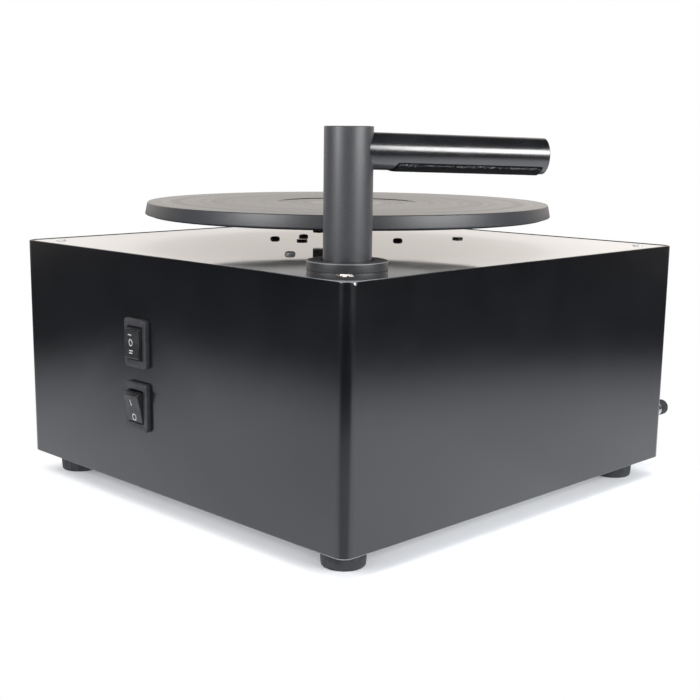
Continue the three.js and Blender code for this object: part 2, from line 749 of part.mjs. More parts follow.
function makeMotorCase() {
  const bottom = gearboxBottom - MOTOR_HEIGHT;
  const bore = ROTOR_SHAFT_RADIUS + GUIDE_CLEARANCE;
  const points = [
    vec(0, bottom),
    vec(MOTOR_RADIUS, bottom),
    vec(MOTOR_RADIUS, gearboxBottom),
    vec(bore, gearboxBottom),
    vec(bore, gearboxBottom - MOTOR_SHELL),
    vec(rotorRoom, gearboxBottom - MOTOR_SHELL),
    vec(rotorRoom, bottom + MOTOR_SHELL),
    vec(0, bottom + MOTOR_SHELL),
  ];
  return revolve(points, ROUND_SIDES);
}

const gearboxHalf = gearRadius + GEAR_MODULE + GEAR_ROOM;
const gearboxRear = SPINDLE_Y + gearboxHalf;
const gearboxFront = motorY - pinionRadius - GEAR_MODULE - GEAR_ROOM;

function makeGearboxCase() {
  const wall = GEARBOX_WALL;
  const left = SPINDLE_X - gearboxHalf;
  const rightSide = SPINDLE_X + gearboxHalf;
  const body = roundedBlock(left - wall, rightSide + wall, gearboxFront - wall, gearboxRear + wall,
    gearboxBottom, gearboxTop, GEARBOX_CORNER);
  const room = roundedBlock(left, rightSide, gearboxFront, gearboxRear,
    gearboxBottom + wall, gearboxTop + CUT_OVERRUN, GEARBOX_CORNER - wall);
  const bossTop = gearBottom - SEAT_GAP;
  const boss = rod(GEARBOX_BOSS_RADIUS, gearboxBottom, bossTop, SMALL_SIDES).translate(SPINDLE_X, SPINDLE_Y, 0);
  const pocket = rod(SHAFT_RADIUS + GUIDE_CLEARANCE, gearboxBottom + wall, bossTop + CUT_OVERRUN, SMALL_SIDES);
  const hole = rod(ROTOR_SHAFT_RADIUS + HOLE_CLEARANCE, gearboxBottom - CUT_OVERRUN,
    gearboxBottom + wall + CUT_OVERRUN, SMALL_SIDES).translate(SPINDLE_X, motorY, 0);
  return cut(join(cut(body, room), boss), pocket.translate(SPINDLE_X, SPINDLE_Y, 0), hole);
}

function makeGearboxPlate() {
  const plate = roundedBlock(SPINDLE_X - GEARBOX_PLATE_LEFT, SPINDLE_X + GEARBOX_PLATE_RIGHT,
    SPINDLE_Y - GEARBOX_PLATE_FRONT, SPINDLE_Y + GEARBOX_PLATE_REAR, gearboxTop, plateUnder, GEARBOX_PLATE_CORNER);
  const low = gearboxTop - CUT_OVERRUN;
  const high = plateUnder + CUT_OVERRUN;
  const centre = rod(BUSH_RADIUS + HOLE_CLEARANCE, low, high, SMALL_SIDES).translate(SPINDLE_X, SPINDLE_Y, 0);
  const front = screwHole(SPINDLE_X + GEARBOX_SCREW_FRONT_X, SPINDLE_Y + GEARBOX_SCREW_FRONT_Y, gearboxTop, plateUnder);
  const rear = screwHole(SPINDLE_X + GEARBOX_SCREW_REAR_X, SPINDLE_Y + GEARBOX_SCREW_REAR_Y, gearboxTop, plateUnder);
  return cut(plate, centre, front, rear);
}

function makeCapacitor() {
  const top = BOTTOM_PLATE + CAPACITOR_HEIGHT;
  const points = [
    vec(0, BOTTOM_PLATE),
    vec(CAPACITOR_RADIUS, BOTTOM_PLATE),
    vec(CAPACITOR_RADIUS, top - CAPACITOR_EDGE),
    vec(CAPACITOR_RADIUS - CAPACITOR_EDGE, top),
    vec(0, top),
  ];
  return revolve(points, SMALL_SIDES);
}

piece('platter', makePlatter(), platterBlack, machine).position.set(SPINDLE_X, SPINDLE_Y, 0);
piece('platter_hub', makeHub(), aluminium, machine).position.set(SPINDLE_X, SPINDLE_Y, 0);
piece('spindle_shaft', makeShaft(), steel, machine).position.set(SPINDLE_X, SPINDLE_Y, 0);
piece('shaft_bush', makeBush(), bronze, machine).position.set(SPINDLE_X, SPINDLE_Y, 0);
piece('drive_gear', makeDriveGear(), nylon, machine).position.set(SPINDLE_X, SPINDLE_Y, 0);
piece('motor_rotor', makeRotor(), steel, machine).position.set(SPINDLE_X, motorY, 0);
piece('drive_motor_case', makeMotorCase(), aluminium, machine).position.set(SPINDLE_X, motorY, 0);
piece('gearbox_case', makeGearboxCase(), aluminium, machine);
piece('gearbox_plate', makeGearboxPlate(), galvanised, machine);
piece('run_capacitor', makeCapacitor(), aluminium, machine).position.set(CAPACITOR_X, CAPACITOR_INSET - back, 0);

// Suction arm, built along its own X axis about the post, with a tube that droops a little towards its tip
function droop(geometry) {
  return geometry.rotateY(ARM_DROOP).translate(0, 0, armAxisZ);
}

function makePost() {
  const top = CASE_HEIGHT + POST_TOP_RISE;
  const points = [
    vec(POST_BORE, postBottom),
    vec(POST_RADIUS, postBottom),
    vec(POST_RADIUS, top - POST_EDGE),
    vec(POST_RADIUS - POST_EDGE, top),
    vec(0, top),
    vec(0, top - POST_TOP_WALL),
    vec(POST_BORE, top - POST_TOP_WALL),
    vec(POST_BORE, postBottom),
  ];
  const outlet = droop(alongX(rod(ARM_TUBE_BORE, 0, POST_RADIUS + CUT_OVERRUN, SMALL_SIDES)));
  return cut(revolve(points, ROUND_SIDES), outlet);
}

function makeArmTube() {
  const tube = alongX(ring(ARM_TUBE_BORE, ARM_TUBE_RADIUS, 0, ARM_REACH, ROUND_SIDES));
  const room = ARM_TUBE_RADIUS + CUT_OVERRUN;
  const half = ARM_SLOT_WIDTH / 2;
  const slot = block(ARM_SLOT_START, ARM_REACH - ARM_SLOT_END_INSET, -half, half, -room, 0);
  const post = rod(POST_RADIUS + SEAT_GAP, armAxisZ - room, armAxisZ + room, ROUND_SIDES);
  return cut(droop(cut(tube, slot)), post);
}

function makeArmCap() {
  const plug = rod(ARM_TUBE_BORE - SEAT_GAP, ARM_REACH - ARM_CAP_LENGTH, ARM_REACH, SMALL_SIDES);
  return droop(alongX(plug));
}

// A strip that wraps the lower flank of the tube from beside the slot upwards
function makePad(side) {
  const inner = ARM_TUBE_RADIUS + SEAT_GAP;
  const outer = inner + PAD_THICKNESS;
  const from = -PAD_LOWER_ANGLE;
  const to = -PAD_UPPER_ANGLE;
  const section = new THREE.Shape();
  section.absarc(0, 0, outer, from, to, false);
  section.lineTo(inner * Math.cos(to), inner * Math.sin(to));
  section.absarc(0, 0, inner, to, from, true);
  section.closePath();
  const strip = extrude(section, PAD_START, ARM_REACH - PAD_END_INSET);
  if (side < 0) {
    strip.rotateY(Math.PI).translate(0, 0, PAD_START + ARM_REACH - PAD_END_INSET);
  }
  return droop(strip.rotateX(Math.PI / 2).rotateZ(Math.PI / 2));
}

const arm = new THREE.Group();
arm.position.set(armX, armY, 0);
arm.rotation.z = ARM_REST_ANGLE;
machine.add(arm);
piece('arm_post', makePost(), greyPlastic, arm);
piece('arm_tube', makeArmTube(), glossBlack, arm);
piece('arm_end_cap', makeArmCap(), blackPlastic, arm);
piece('velvet_pad_left', makePad(-1), velvet, arm);
piece('velvet_pad_right', makePad(1), velvet, arm);

function makeFlange() {
  const bore = POST_RADIUS + FLANGE_CLEARANCE;
  const top = plateTop + FLANGE_HEIGHT;
  const groove = plateTop + FLANGE_GROOVE_RISE;
  const points = [
    vec(bore, plateTop),
    vec(FLANGE_RADIUS, plateTop),
    vec(FLANGE_RADIUS, groove),
    vec(FLANGE_RADIUS - FLANGE_GROOVE, groove),
    vec(FLANGE_RADIUS - FLANGE_GROOVE, groove + FLANGE_GROOVE),
    vec(FLANGE_RADIUS, groove + FLANGE_GROOVE),
    vec(FLANGE_RADIUS, top - FLANGE_EDGE),
    vec(FLANGE_RADIUS - FLANGE_EDGE, top),
    vec(bore, top),
    vec(bore, plateTop),
  ];
  return revolve(points, ROUND_SIDES);
}

function makeCup() {
  const inner = POST_RADIUS + CUP_CLEARANCE;
  const bottom = cupFloorTop - CUP_FLOOR;
  const top = guideBottom - SEAT_GAP;
  const points = [
    vec(CUP_OUTLET_RADIUS, bottom),
    vec(cupRadius, bottom),
    vec(cupRadius, lidTop),
    vec(CUP_RIM_RADIUS, lidTop),
    vec(CUP_RIM_RADIUS, lidTop + CUP_RIM),
    vec(cupRadius, lidTop + CUP_RIM),
    vec(cupRadius, top),
    vec(inner, top),
    vec(inner, cupFloorTop),
    vec(CUP_OUTLET_RADIUS, cupFloorTop),
    vec(CUP_OUTLET_RADIUS, bottom),
  ];
  return revolve(points, ROUND_SIDES);
}

const guideBush = ring(POST_RADIUS + GUIDE_CLEARANCE, GUIDE_RADIUS, guideBottom, plateUnder, ROUND_SIDES);
const springOuter = POST_RADIUS;
const springInner = springOuter - SPRING_WIRE;
const liftSpring = ring(springInner, springOuter, cupFloorTop, washerBottom - SEAT_GAP, SMALL_SIDES);
const thrustWasher = ring(POST_BORE, POST_RADIUS, washerBottom, washerTop, SMALL_SIDES);
piece('arm_flange', makeFlange(), greyPlastic, machine).position.set(armX, armY, 0);
piece('guide_bush', guideBush, nylon, machine).position.set(armX, armY, 0);
piece('spring_cup', makeCup(), nylon, machine).position.set(armX, armY, 0);
piece('lift_spring', liftSpring, steel, machine).position.set(armX, armY, 0);
piece('thrust_washer', thrustWasher, nylon, machine).position.set(armX, armY, 0);

// Waste tank
const hoseBore = HOSE_RADIUS - PORT_WALL;
const drainPortZ = tankBottom + DRAIN_PORT_RISE;

function makeTank() {
  const outside = roundedBlock(tankLeft, tankRight, tankFront, tankRear, tankBottom, tankTop, TANK_CORNER);
  const room = roundedBlock(tankLeft + TANK_WALL, tankRight - TANK_WALL, tankFront + TANK_WALL,
    tankRear - TANK_WALL, tankBottom + TANK_WALL, tankTop + CUT_OVERRUN, TANK_CORNER - TANK_WALL);
  const port = alongY(rod(HOSE_RADIUS, tankRear - TANK_WALL, tankRear + PORT_LENGTH, SMALL_SIDES));
  const portBore = alongY(rod(hoseBore, tankRear - TANK_WALL - CUT_OVERRUN, tankRear + PORT_LENGTH + CUT_OVERRUN,
    SMALL_SIDES));
  const drain = alongY(rod(DRAIN_HOSE_RADIUS, tankRear - TANK_WALL, tankRear + PORT_LENGTH, SCREW_SIDES));
  const drainBore = alongY(rod(DRAIN_BORE, tankRear - TANK_WALL - CUT_OVERRUN, tankRear + PORT_LENGTH + CUT_OVERRUN,
    SCREW_SIDES));
  port.translate(portX, 0, portZ);
  portBore.translate(portX, 0, portZ);
  drain.translate(drainX, 0, drainPortZ);
  drainBore.translate(drainX, 0, drainPortZ);
  return cut(join(cut(outside, room), port, drain), portBore, drainBore);
}

function makeGasket() {
  const outline = roundedOutline(new THREE.Shape(), tankLeft, tankRight, tankFront, tankRear, TANK_CORNER);
  const hole = new THREE.Path();
  roundedOutline(hole, tankLeft + GASKET_WIDTH, tankRight - TANK_WALL, tankFront + TANK_WALL,
    tankRear - GASKET_WIDTH, TANK_CORNER - TANK_WALL);
  outline.holes.push(hole);
  return extrude(outline, tankTop, lidBottom);
}

function makeLid() {
  const lid = roundedBlock(tankLeft, tankRight, tankFront, tankRear, lidBottom, lidTop, TANK_CORNER);
  const radius = cupRadius + HOLE_CLEARANCE;
  return cut(lid, rod(radius, lidBottom - CUT_OVERRUN, lidTop + CUT_OVERRUN, ROUND_SIDES).translate(armX, armY, 0));
}

// An upside-down channel that stands on the bottom plate
function makeStand() {
  const left = tankLeft + STAND_INSET;
  const rightSide = tankRight - STAND_INSET;
  const front = tankFront + STAND_FRONT_INSET;
  const rear = tankRear - STAND_REAR_INSET;
  const top = block(left, rightSide, front, rear, tankBottom - STAND_SHEET, tankBottom);
  const legLeft = block(left, left + STAND_SHEET, front, rear, BOTTOM_PLATE, tankBottom);
  const legRight = block(rightSide - STAND_SHEET, rightSide, front, rear, BOTTOM_PLATE, tankBottom);
  return join(top, legLeft, legRight);
}

function makeDrainSpout() {
  const inside = innerBack - DRAIN_INSIDE;
  const points = [
    vec(DRAIN_BORE, inside),
    vec(DRAIN_RADIUS, inside),
    vec(DRAIN_RADIUS, back),
    vec(DRAIN_NUT_RADIUS, back),
    vec(DRAIN_NUT_RADIUS, back + DRAIN_NUT),
    vec(DRAIN_RADIUS, back + DRAIN_NUT),
    vec(DRAIN_RADIUS, back + DRAIN_COLLAR_START),
    vec(DRAIN_COLLAR_RADIUS, back + DRAIN_COLLAR_START),
    vec(DRAIN_COLLAR_RADIUS, back + DRAIN_COLLAR_START + DRAIN_COLLAR),
    vec(DRAIN_RADIUS, back + DRAIN_COLLAR_START + DRAIN_COLLAR),
    vec(DRAIN_RADIUS, back + DRAIN_SPOUT),
    vec(DRAIN_BORE, back + DRAIN_SPOUT),
    vec(DRAIN_BORE, inside),
  ];
  return alongY(revolve(points, SMALL_SIDES));
}

const drainCapStart = back + DRAIN_COLLAR_START + DRAIN_COLLAR + SEAT_GAP;
const drainCapEnd = drainCapStart + DRAIN_CAP_LENGTH;

function makeDrainCap() {
  const bore = DRAIN_RADIUS + SEAT_GAP;
  const outer = bore + DRAIN_CAP_WALL;
  const bottom = back + DRAIN_SPOUT + SEAT_GAP;
  const points = [
    vec(bore, drainCapStart),
    vec(outer, drainCapStart),
    vec(outer, drainCapEnd),
    vec(0, drainCapEnd),
    vec(0, bottom),
    vec(bore, bottom),
    vec(bore, drainCapStart),
  ];
  return alongY(revolve(points, SMALL_SIDES));
}

function point(x, y, z) {
  return new THREE.Vector3(x, y, z);
}

// The drain hose falls gently from the tank to the spout
function makeDrainHose() {
  const start = tankRear + PORT_LENGTH + SEAT_GAP;
  const end = innerBack - DRAIN_INSIDE - SEAT_GAP;
  const run = end - start;
  const fall = drainPortZ - DRAIN_Z;
  const straight = DRAIN_HOSE_RADIUS * 2;
  const points = [
    point(drainX, start, drainPortZ),
    point(drainX, start + straight, drainPortZ),
    point(drainX, start + run * 0.3, drainPortZ - fall * 0.2),
    point(drainX, start + run * 0.5, drainPortZ - fall * 0.5),
    point(drainX, start + run * 0.7, drainPortZ - fall * 0.8),
    point(drainX, end - straight, DRAIN_Z),
    point(drainX, end, DRAIN_Z),
  ];
  return tubeAlong(points, DRAIN_HOSE_RADIUS, 12, HALF_LEAD_SIDES);
}

piece('tank_body', makeTank(), tankPlastic, machine);
piece('tank_gasket', makeGasket(), blackRubber, machine);
piece('tank_lid', makeLid(), tankPlastic, machine);
piece('tank_stand', makeStand(), galvanised, machine);
piece('drain_hose', makeDrainHose(), blackRubber, machine);
piece('drain_spout', makeDrainSpout(), nickel, machine).position.set(drainX, 0, DRAIN_Z);
piece('drain_cap', makeDrainCap(), blackRubber, machine).position.set(drainX, 0, DRAIN_Z);

// Vacuum motor: fan and motor hang on the bulkhead, and the suction hose comes through it
function makeBulkhead() {
  const x1 = BULKHEAD_X;
  const x0 = BULKHEAD_X - BULKHEAD_SHEET;
  const web = block(x0, x1, BULKHEAD_FRONT, BULKHEAD_REAR, BOTTOM_PLATE, plateUnder);
  const head = block(x0 - BULKHEAD_TOP_FLANGE, x1, BULKHEAD_FRONT, BULKHEAD_REAR,
    plateUnder - BULKHEAD_SHEET, plateUnder);
  const foot = block(x0, x1 + BULKHEAD_BOTTOM_FLANGE, BULKHEAD_FRONT, BULKHEAD_REAR,
    BOTTOM_PLATE, BOTTOM_PLATE + BULKHEAD_SHEET);
  const hole = alongX(rod(HOSE_RADIUS + HOLE_CLEARANCE, x0 - CUT_OVERRUN, x1 + CUT_OVERRUN, SMALL_SIDES));
  const screwHoles = [BULKHEAD_SCREW_FRONT, BULKHEAD_SCREW_REAR].map((y) => {
    return screwHole(bulkheadScrewX, y, plateUnder - BULKHEAD_SHEET, plateUnder);
  });
  return cut(join(web, head, foot), hole.translate(0, FAN_Y, fanZ), ...screwHoles);
}

function makeFanHousing() {
  const room = fanRadius - FAN_SHELL;
  const shaftHole = VACUUM_SHAFT_RADIUS + HOLE_CLEARANCE;
  const points = [
    vec(FAN_INLET_RADIUS, fanFront),
    vec(FAN_INLET_RADIUS, fanFront - FAN_SHELL),
    vec(room, fanFront - FAN_SHELL),
    vec(room, fanRear + FAN_SHELL),
    vec(shaftHole, fanRear + FAN_SHELL),
    vec(shaftHole, fanRear),
    vec(fanRadius - FAN_EDGE, fanRear),
    vec(fanRadius, fanRear + FAN_EDGE),
    vec(fanRadius, fanFront),
    vec(FAN_INLET_RADIUS, fanFront),
  ];
  return alongX(revolve(points, ROUND_SIDES));
}

const wheelFront = fanFront - FAN_SHELL - FAN_ROOM;
const wheelRear = wheelFront - WHEEL_WIDTH;
const wheelRadius = fanRadius - FAN_SHELL - FAN_ROOM;
const vacuumShaftEnd = fanRear - (fanRear - vacuumMotorEnd) * VACUUM_SHAFT_SHARE;

function makeFanRotor() {
  const points = [
    vec(0, vacuumShaftEnd),
    vec(VACUUM_SHAFT_RADIUS, vacuumShaftEnd),
    vec(VACUUM_SHAFT_RADIUS, wheelRear),
    vec(wheelRadius, wheelRear),
    vec(wheelRadius, wheelRear + WHEEL_DISC),
    vec(WHEEL_HUB_RADIUS, wheelRear + WHEEL_DISC),
    vec(WHEEL_HUB_RADIUS, wheelFront),
    vec(0, wheelFront),
  ];
  const blades = Array.from({ length: WHEEL_BLADES }, (_, i) => {
    const half = WHEEL_BLADE_SHEET / 2;
    const blade = block(wheelRadius - WHEEL_BLADE_LENGTH, wheelRadius - half, -half, half, wheelRear, wheelFront);
    return blade.rotateZ(i * Math.PI * 2 / WHEEL_BLADES);
  });
  return alongX(join(revolve(points, ROUND_SIDES), ...blades));
}

function makeVacuumMotor() {
  const radius = fanRadius - VACUUM_MOTOR_STEP;
  const end = vacuumMotorEnd;
  const bore = VACUUM_SHAFT_RADIUS + GUIDE_CLEARANCE;
  const bottom = vacuumShaftEnd - SEAT_GAP;
  const points = [
    vec(0, end),
    vec(radius - FAN_EDGE, end),
    vec(radius, end + FAN_EDGE),
    vec(radius, fanRear),
    vec(bore, fanRear),
    vec(bore, bottom),
    vec(0, bottom),
  ];
  return alongX(revolve(points, ROUND_SIDES));
}

// The suction hose runs from the tank's port, bends past the drive motor and enters the bulkhead square
function makeSuctionHose() {
  const start = tankRear + PORT_LENGTH + SEAT_GAP;
  const end = fanFront + SEAT_GAP;
  const straight = HOSE_RADIUS * 2;
  const points = [
    point(portX, start, portZ),
    point(portX, start + straight, portZ),
    point(portX - HOSE_RADIUS, FAN_Y - straight, portZ - HOSE_RADIUS / 2),
    point(SPINDLE_X + straight, FAN_Y - HOSE_RADIUS / 2, (portZ + fanZ) / 2),
    point(SPINDLE_X - HOSE_RADIUS, FAN_Y, fanZ),
    point(end + straight, FAN_Y, fanZ),
    point(end, FAN_Y, fanZ),
  ];
  return tubeAlong(points, HOSE_RADIUS, 18, HALF_HOSE_SIDES);
}

const sealOuter = fanRadius - FAN_SEAL_INSET;
const sealInner = sealOuter - FAN_SEAL_WIDTH;
const fanSeal = alongX(ring(sealInner, sealOuter, fanFront, fanFront + FAN_SEAL, ROUND_SIDES));
piece('bulkhead', makeBulkhead(), galvanised, machine);
piece('fan_seal', fanSeal, blackRubber, machine).position.set(0, FAN_Y, fanZ);
piece('fan_housing', makeFanHousing(), blackPlastic, machine).position.set(0, FAN_Y, fanZ);
piece('fan_rotor', makeFanRotor(), aluminium, machine).position.set(0, FAN_Y, fanZ);
piece('vacuum_motor_case', makeVacuumMotor(), blackSteel, machine).position.set(0, FAN_Y, fanZ);
piece('suction_hose', makeSuctionHose(), blackRubber, machine);

// Switches: a framed body in the front wall, and a rocker that tilts about its own X axis
function makeSwitchBody() {
  const halfWidth = BEZEL_WIDTH / 2;
  const halfHeight = BEZEL_HEIGHT / 2;
  const inset = SWITCH_BODY_INSET;
  const bezel = standingBlock(-halfWidth, halfWidth, switchFront, -back, -halfHeight, halfHeight, BEZEL_CORNER);
  const rear = SWITCH_BODY_DEPTH - back;
  const body = block(inset - halfWidth, halfWidth - inset, -back, rear, inset - halfHeight, halfHeight - inset);
  const openingWidth = ROCKER_OPENING_WIDTH / 2;
  const openingHeight = ROCKER_OPENING_HEIGHT / 2;
  const pocket = block(-openingWidth, openingWidth, switchFront - CUT_OVERRUN, switchFront + ROCKER_POCKET,
    -openingHeight, openingHeight);
  return cut(join(bezel, body), pocket);
}

// The rocker's side outline, drawn outwards along X and upwards along Y, is turned to face the front
function makeRocker() {
  const reach = ROCKER_OPENING_HEIGHT / 2 - ROCKER_END_GAP;
  const halfWidth = ROCKER_OPENING_WIDTH / 2 - ROCKER_SIDE_GAP;
  const outline = new THREE.Shape();
  const endAngle = Math.atan2(ROCKER_FACE_HALF, ROCKER_RISE);
  const faceX = ROCKER_RISE;
  outline.moveTo(faceX, -ROCKER_FACE_HALF);
  outline.lineTo(faceX - ROCKER_DISH, 0);
  outline.lineTo(faceX, ROCKER_FACE_HALF);
  const midAngle = (endAngle + Math.PI / 2) / 2;
  outline.lineTo(reach * Math.cos(midAngle), reach * Math.sin(midAngle));
  outline.lineTo(0, reach);
  outline.lineTo(-ROCKER_TAIL, ROCKER_TAIL_HALF);
  outline.lineTo(-ROCKER_TAIL, -ROCKER_TAIL_HALF);
  outline.lineTo(0, -reach);
  outline.lineTo(reach * Math.cos(midAngle), -reach * Math.sin(midAngle));
  outline.closePath();
  const body = extrude(outline, -halfWidth, halfWidth);
  return body.rotateX(Math.PI / 2).rotateZ(-Math.PI / 2);
}

const pivotY = switchFront + ROCKER_PIVOT_DEPTH;
piece('motor_switch_body', makeSwitchBody(), blackPlastic, machine).position.set(SWITCH_X, 0, MOTOR_SWITCH_Z);
piece('motor_rocker', makeRocker(), blackPlastic, machine).position.set(SWITCH_X, pivotY, MOTOR_SWITCH_Z);
piece('vacuum_switch_body', makeSwitchBody(), blackPlastic, machine).position.set(SWITCH_X, 0, VACUUM_SWITCH_Z);
const vacuumRocker = piece('vacuum_rocker', makeRocker(), blackPlastic, machine);
vacuumRocker.position.set(SWITCH_X, pivotY, VACUUM_SWITCH_Z);
vacuumRocker.rotation.x = ROCKER_TILT;

// Mains inlet with three contacts and a fuse drawer
const inletFront = back + INLET_FLANGE;
const socketFloor = inletFront - SOCKET_DEPTH;

function makeInlet() {
  const halfWidth = INLET_WIDTH / 2;
  const halfHeight = INLET_HEIGHT / 2;
  const inset = INLET_BODY_INSET;
  const flange = standingBlock(-halfWidth, halfWidth, back, inletFront, -halfHeight, halfHeight, INLET_CORNER);
  const rear = back - INLET_BODY_DEPTH;
  const body = block(inset - halfWidth, halfWidth - inset, rear, back, inset - halfHeight, halfHeight - inset);
  const socketLow = SOCKET_RISE - SOCKET_HEIGHT / 2;
  const socket = standingBlock(-SOCKET_WIDTH / 2, SOCKET_WIDTH / 2, socketFloor, inletFront + CUT_OVERRUN,
    socketLow, socketLow + SOCKET_HEIGHT, INLET_CORNER);
  const fuseHalf = FUSE_WIDTH / 2 + SEAT_GAP;
  const fuseTall = FUSE_HEIGHT / 2 + SEAT_GAP;
  const fuseFloor = inletFront - FUSE_DEPTH - SEAT_GAP;
  const drawerRoom = block(-fuseHalf, fuseHalf, fuseFloor, inletFront + CUT_OVERRUN,
    -FUSE_DROP - fuseTall, fuseTall - FUSE_DROP);
  return cut(join(flange, body), socket, drawerRoom);
}

function makeContacts() {
  const halfWidth = SOCKET_WIDTH / 2 - INLET_CORNER;
  const halfHeight = SOCKET_HEIGHT / 2 - INLET_CORNER;
  const low = socketFloor;
  const base = block(-halfWidth, halfWidth, low, low + CONTACT_BASE, -halfHeight, halfHeight);
  const places = [[-CONTACT_SPACING, 0], [0, CONTACT_EARTH_RISE / 2], [CONTACT_SPACING, 0]];
  const blades = places.map(([x, z]) => {
    const tip = low + CONTACT_BASE + CONTACT_LENGTH;
    const half = CONTACT_WIDTH / 2;
    return block(x - half, x + half, low, tip, z - CONTACT_HEIGHT / 2, z + CONTACT_HEIGHT / 2);
  });
  return join(base, ...blades);
}

function makeFuseDrawer() {
  const halfWidth = FUSE_WIDTH / 2;
  const halfHeight = FUSE_HEIGHT / 2;
  const drawer = block(-halfWidth, halfWidth, inletFront - FUSE_DEPTH, inletFront, -halfHeight, halfHeight);
  const grip = block(-halfWidth / 2, halfWidth / 2, inletFront, inletFront + FUSE_LIP, -halfHeight, halfHeight);
  return join(drawer, grip);
}

piece('power_inlet', makeInlet(), blackPlastic, machine).position.set(inletX, 0, INLET_Z);
piece('inlet_contacts', makeContacts(), nickel, machine).position.set(inletX, 0, INLET_Z + SOCKET_RISE);
piece('fuse_drawer', makeFuseDrawer(), drawerPlastic, machine).position.set(inletX, 0, INLET_Z - FUSE_DROP);

// The mains lead runs low along the bottom plate from the inlet to the switches
function makeMainsLead() {
  const low = BOTTOM_PLATE + LEAD_RADIUS * 2.5;
  const start = back - INLET_BODY_DEPTH - SEAT_GAP;
  const end = SWITCH_BODY_DEPTH - back + SEAT_GAP;
  const loop = LEAD_RADIUS * 5;
  const passX = BULKHEAD_X - BULKHEAD_TOP_FLANGE;
  const points = [
    point(inletX, start, INLET_Z),
    point(inletX, start - loop / 2, INLET_Z),
    point(inletX, start - loop, INLET_Z - loop),
    point(inletX, start - loop * 1.5, low),
    point((inletX + passX) / 2, FAN_Y + fanRadius / 2, low),
    point(passX, FAN_Y - fanRadius, low),
    point(passX, BULKHEAD_FRONT - loop, low),
    point((passX + SWITCH_X) / 2, (BULKHEAD_FRONT + end) / 2 - loop, low),
    point(SWITCH_X, end + loop * 1.5, low + loop),
    point(SWITCH_X, end + loop / 2, VACUUM_SWITCH_Z),
    point(SWITCH_X, end, VACUUM_SWITCH_Z),
  ];
  return tubeAlong(points, LEAD_RADIUS, 32, HALF_LEAD_SIDES);
}

function makeMotorLead() {
  const start = SWITCH_BODY_DEPTH - back + SEAT_GAP;
  const end = motorY - MOTOR_RADIUS - SEAT_GAP;
  const run = end - start;
  const points = [
    point(SWITCH_X, start, MOTOR_SWITCH_Z),
    point(SWITCH_X, start + run * 0.2, MOTOR_SWITCH_Z),
    point((SWITCH_X * 2 + SPINDLE_X) / 3, start + run * 0.45, MOTOR_SWITCH_Z),
    point((SWITCH_X + SPINDLE_X * 2) / 3, start + run * 0.6, MOTOR_SWITCH_Z),
    point(SPINDLE_X, start + run * 0.85, MOTOR_SWITCH_Z),
    point(SPINDLE_X, end, MOTOR_SWITCH_Z),
  ];
  return tubeAlong(points, LEAD_RADIUS, 10, HALF_LEAD_SIDES);
}

piece('mains_lead', makeMainsLead(), blackRubber, machine);
piece('motor_lead', makeMotorLead(), blackRubber, machine);

// The outline's centre, from the arm's far corner, the left wall, the tilted rocker and the drain cap
const armRun = ARM_REACH * Math.cos(ARM_DROOP);
const armTipX = armX + armRun * Math.cos(ARM_REST_ANGLE) + ARM_TUBE_RADIUS * Math.sin(ARM_REST_ANGLE);
const rockerReach = ROCKER_RISE * Math.cos(ROCKER_TILT) + ROCKER_FACE_HALF * Math.sin(ROCKER_TILT);
const centreX = (armTipX - right) / 2;
const centreY = (drainCapEnd + pivotY - rockerReach) / 2;
machine.position.set(-centreX, -centreY, FOOT_HEIGHT);

const group = new THREE.Group();
group.add(machine);

export default group;
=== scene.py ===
"""Looks of the record cleaning machine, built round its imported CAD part.

Lengths are in millimetres from the centre of the case at its lower edge, and at() turns them into metres.
Only the floor's pool of light, the lamps and the camera are placed in metres.
"""

import bmesh
import bpy
import math
import random
from mathutils import Matrix, Vector


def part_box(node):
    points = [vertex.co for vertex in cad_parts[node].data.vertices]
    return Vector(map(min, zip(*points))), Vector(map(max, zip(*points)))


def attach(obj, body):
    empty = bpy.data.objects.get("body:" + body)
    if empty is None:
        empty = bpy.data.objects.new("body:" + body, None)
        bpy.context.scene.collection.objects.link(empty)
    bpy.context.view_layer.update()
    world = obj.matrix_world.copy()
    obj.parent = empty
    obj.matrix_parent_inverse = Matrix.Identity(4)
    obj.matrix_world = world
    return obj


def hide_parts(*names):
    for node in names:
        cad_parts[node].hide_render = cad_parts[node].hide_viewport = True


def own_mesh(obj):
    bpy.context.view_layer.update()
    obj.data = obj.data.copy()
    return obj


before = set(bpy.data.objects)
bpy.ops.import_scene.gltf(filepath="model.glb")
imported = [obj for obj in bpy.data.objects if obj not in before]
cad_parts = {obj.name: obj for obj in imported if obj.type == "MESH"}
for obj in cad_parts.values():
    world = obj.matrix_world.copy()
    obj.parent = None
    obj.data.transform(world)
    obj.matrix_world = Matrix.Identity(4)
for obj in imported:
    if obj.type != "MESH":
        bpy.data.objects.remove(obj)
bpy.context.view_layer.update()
scene = bpy.context.scene
random.seed(11)
MM = 0.001
case_low, case_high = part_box("housing")
ORIGIN = Vector(((case_low.x + case_high.x) / 2, (case_low.y + case_high.y) / 2, case_low.z))

# Sizes and places that the scene shares with the part
HALF_WIDTH, HALF_DEPTH, CASE_HEIGHT, CORNER = 175.0, 177.5, 166.6, 8.0
WALL = 2.0
PLATE_TOP = 166.2
FOOT_INSET = 26.5
PLATE_SCREW_X, PLATE_SCREW_Y = HALF_WIDTH - 19.5, HALF_DEPTH - 19.5

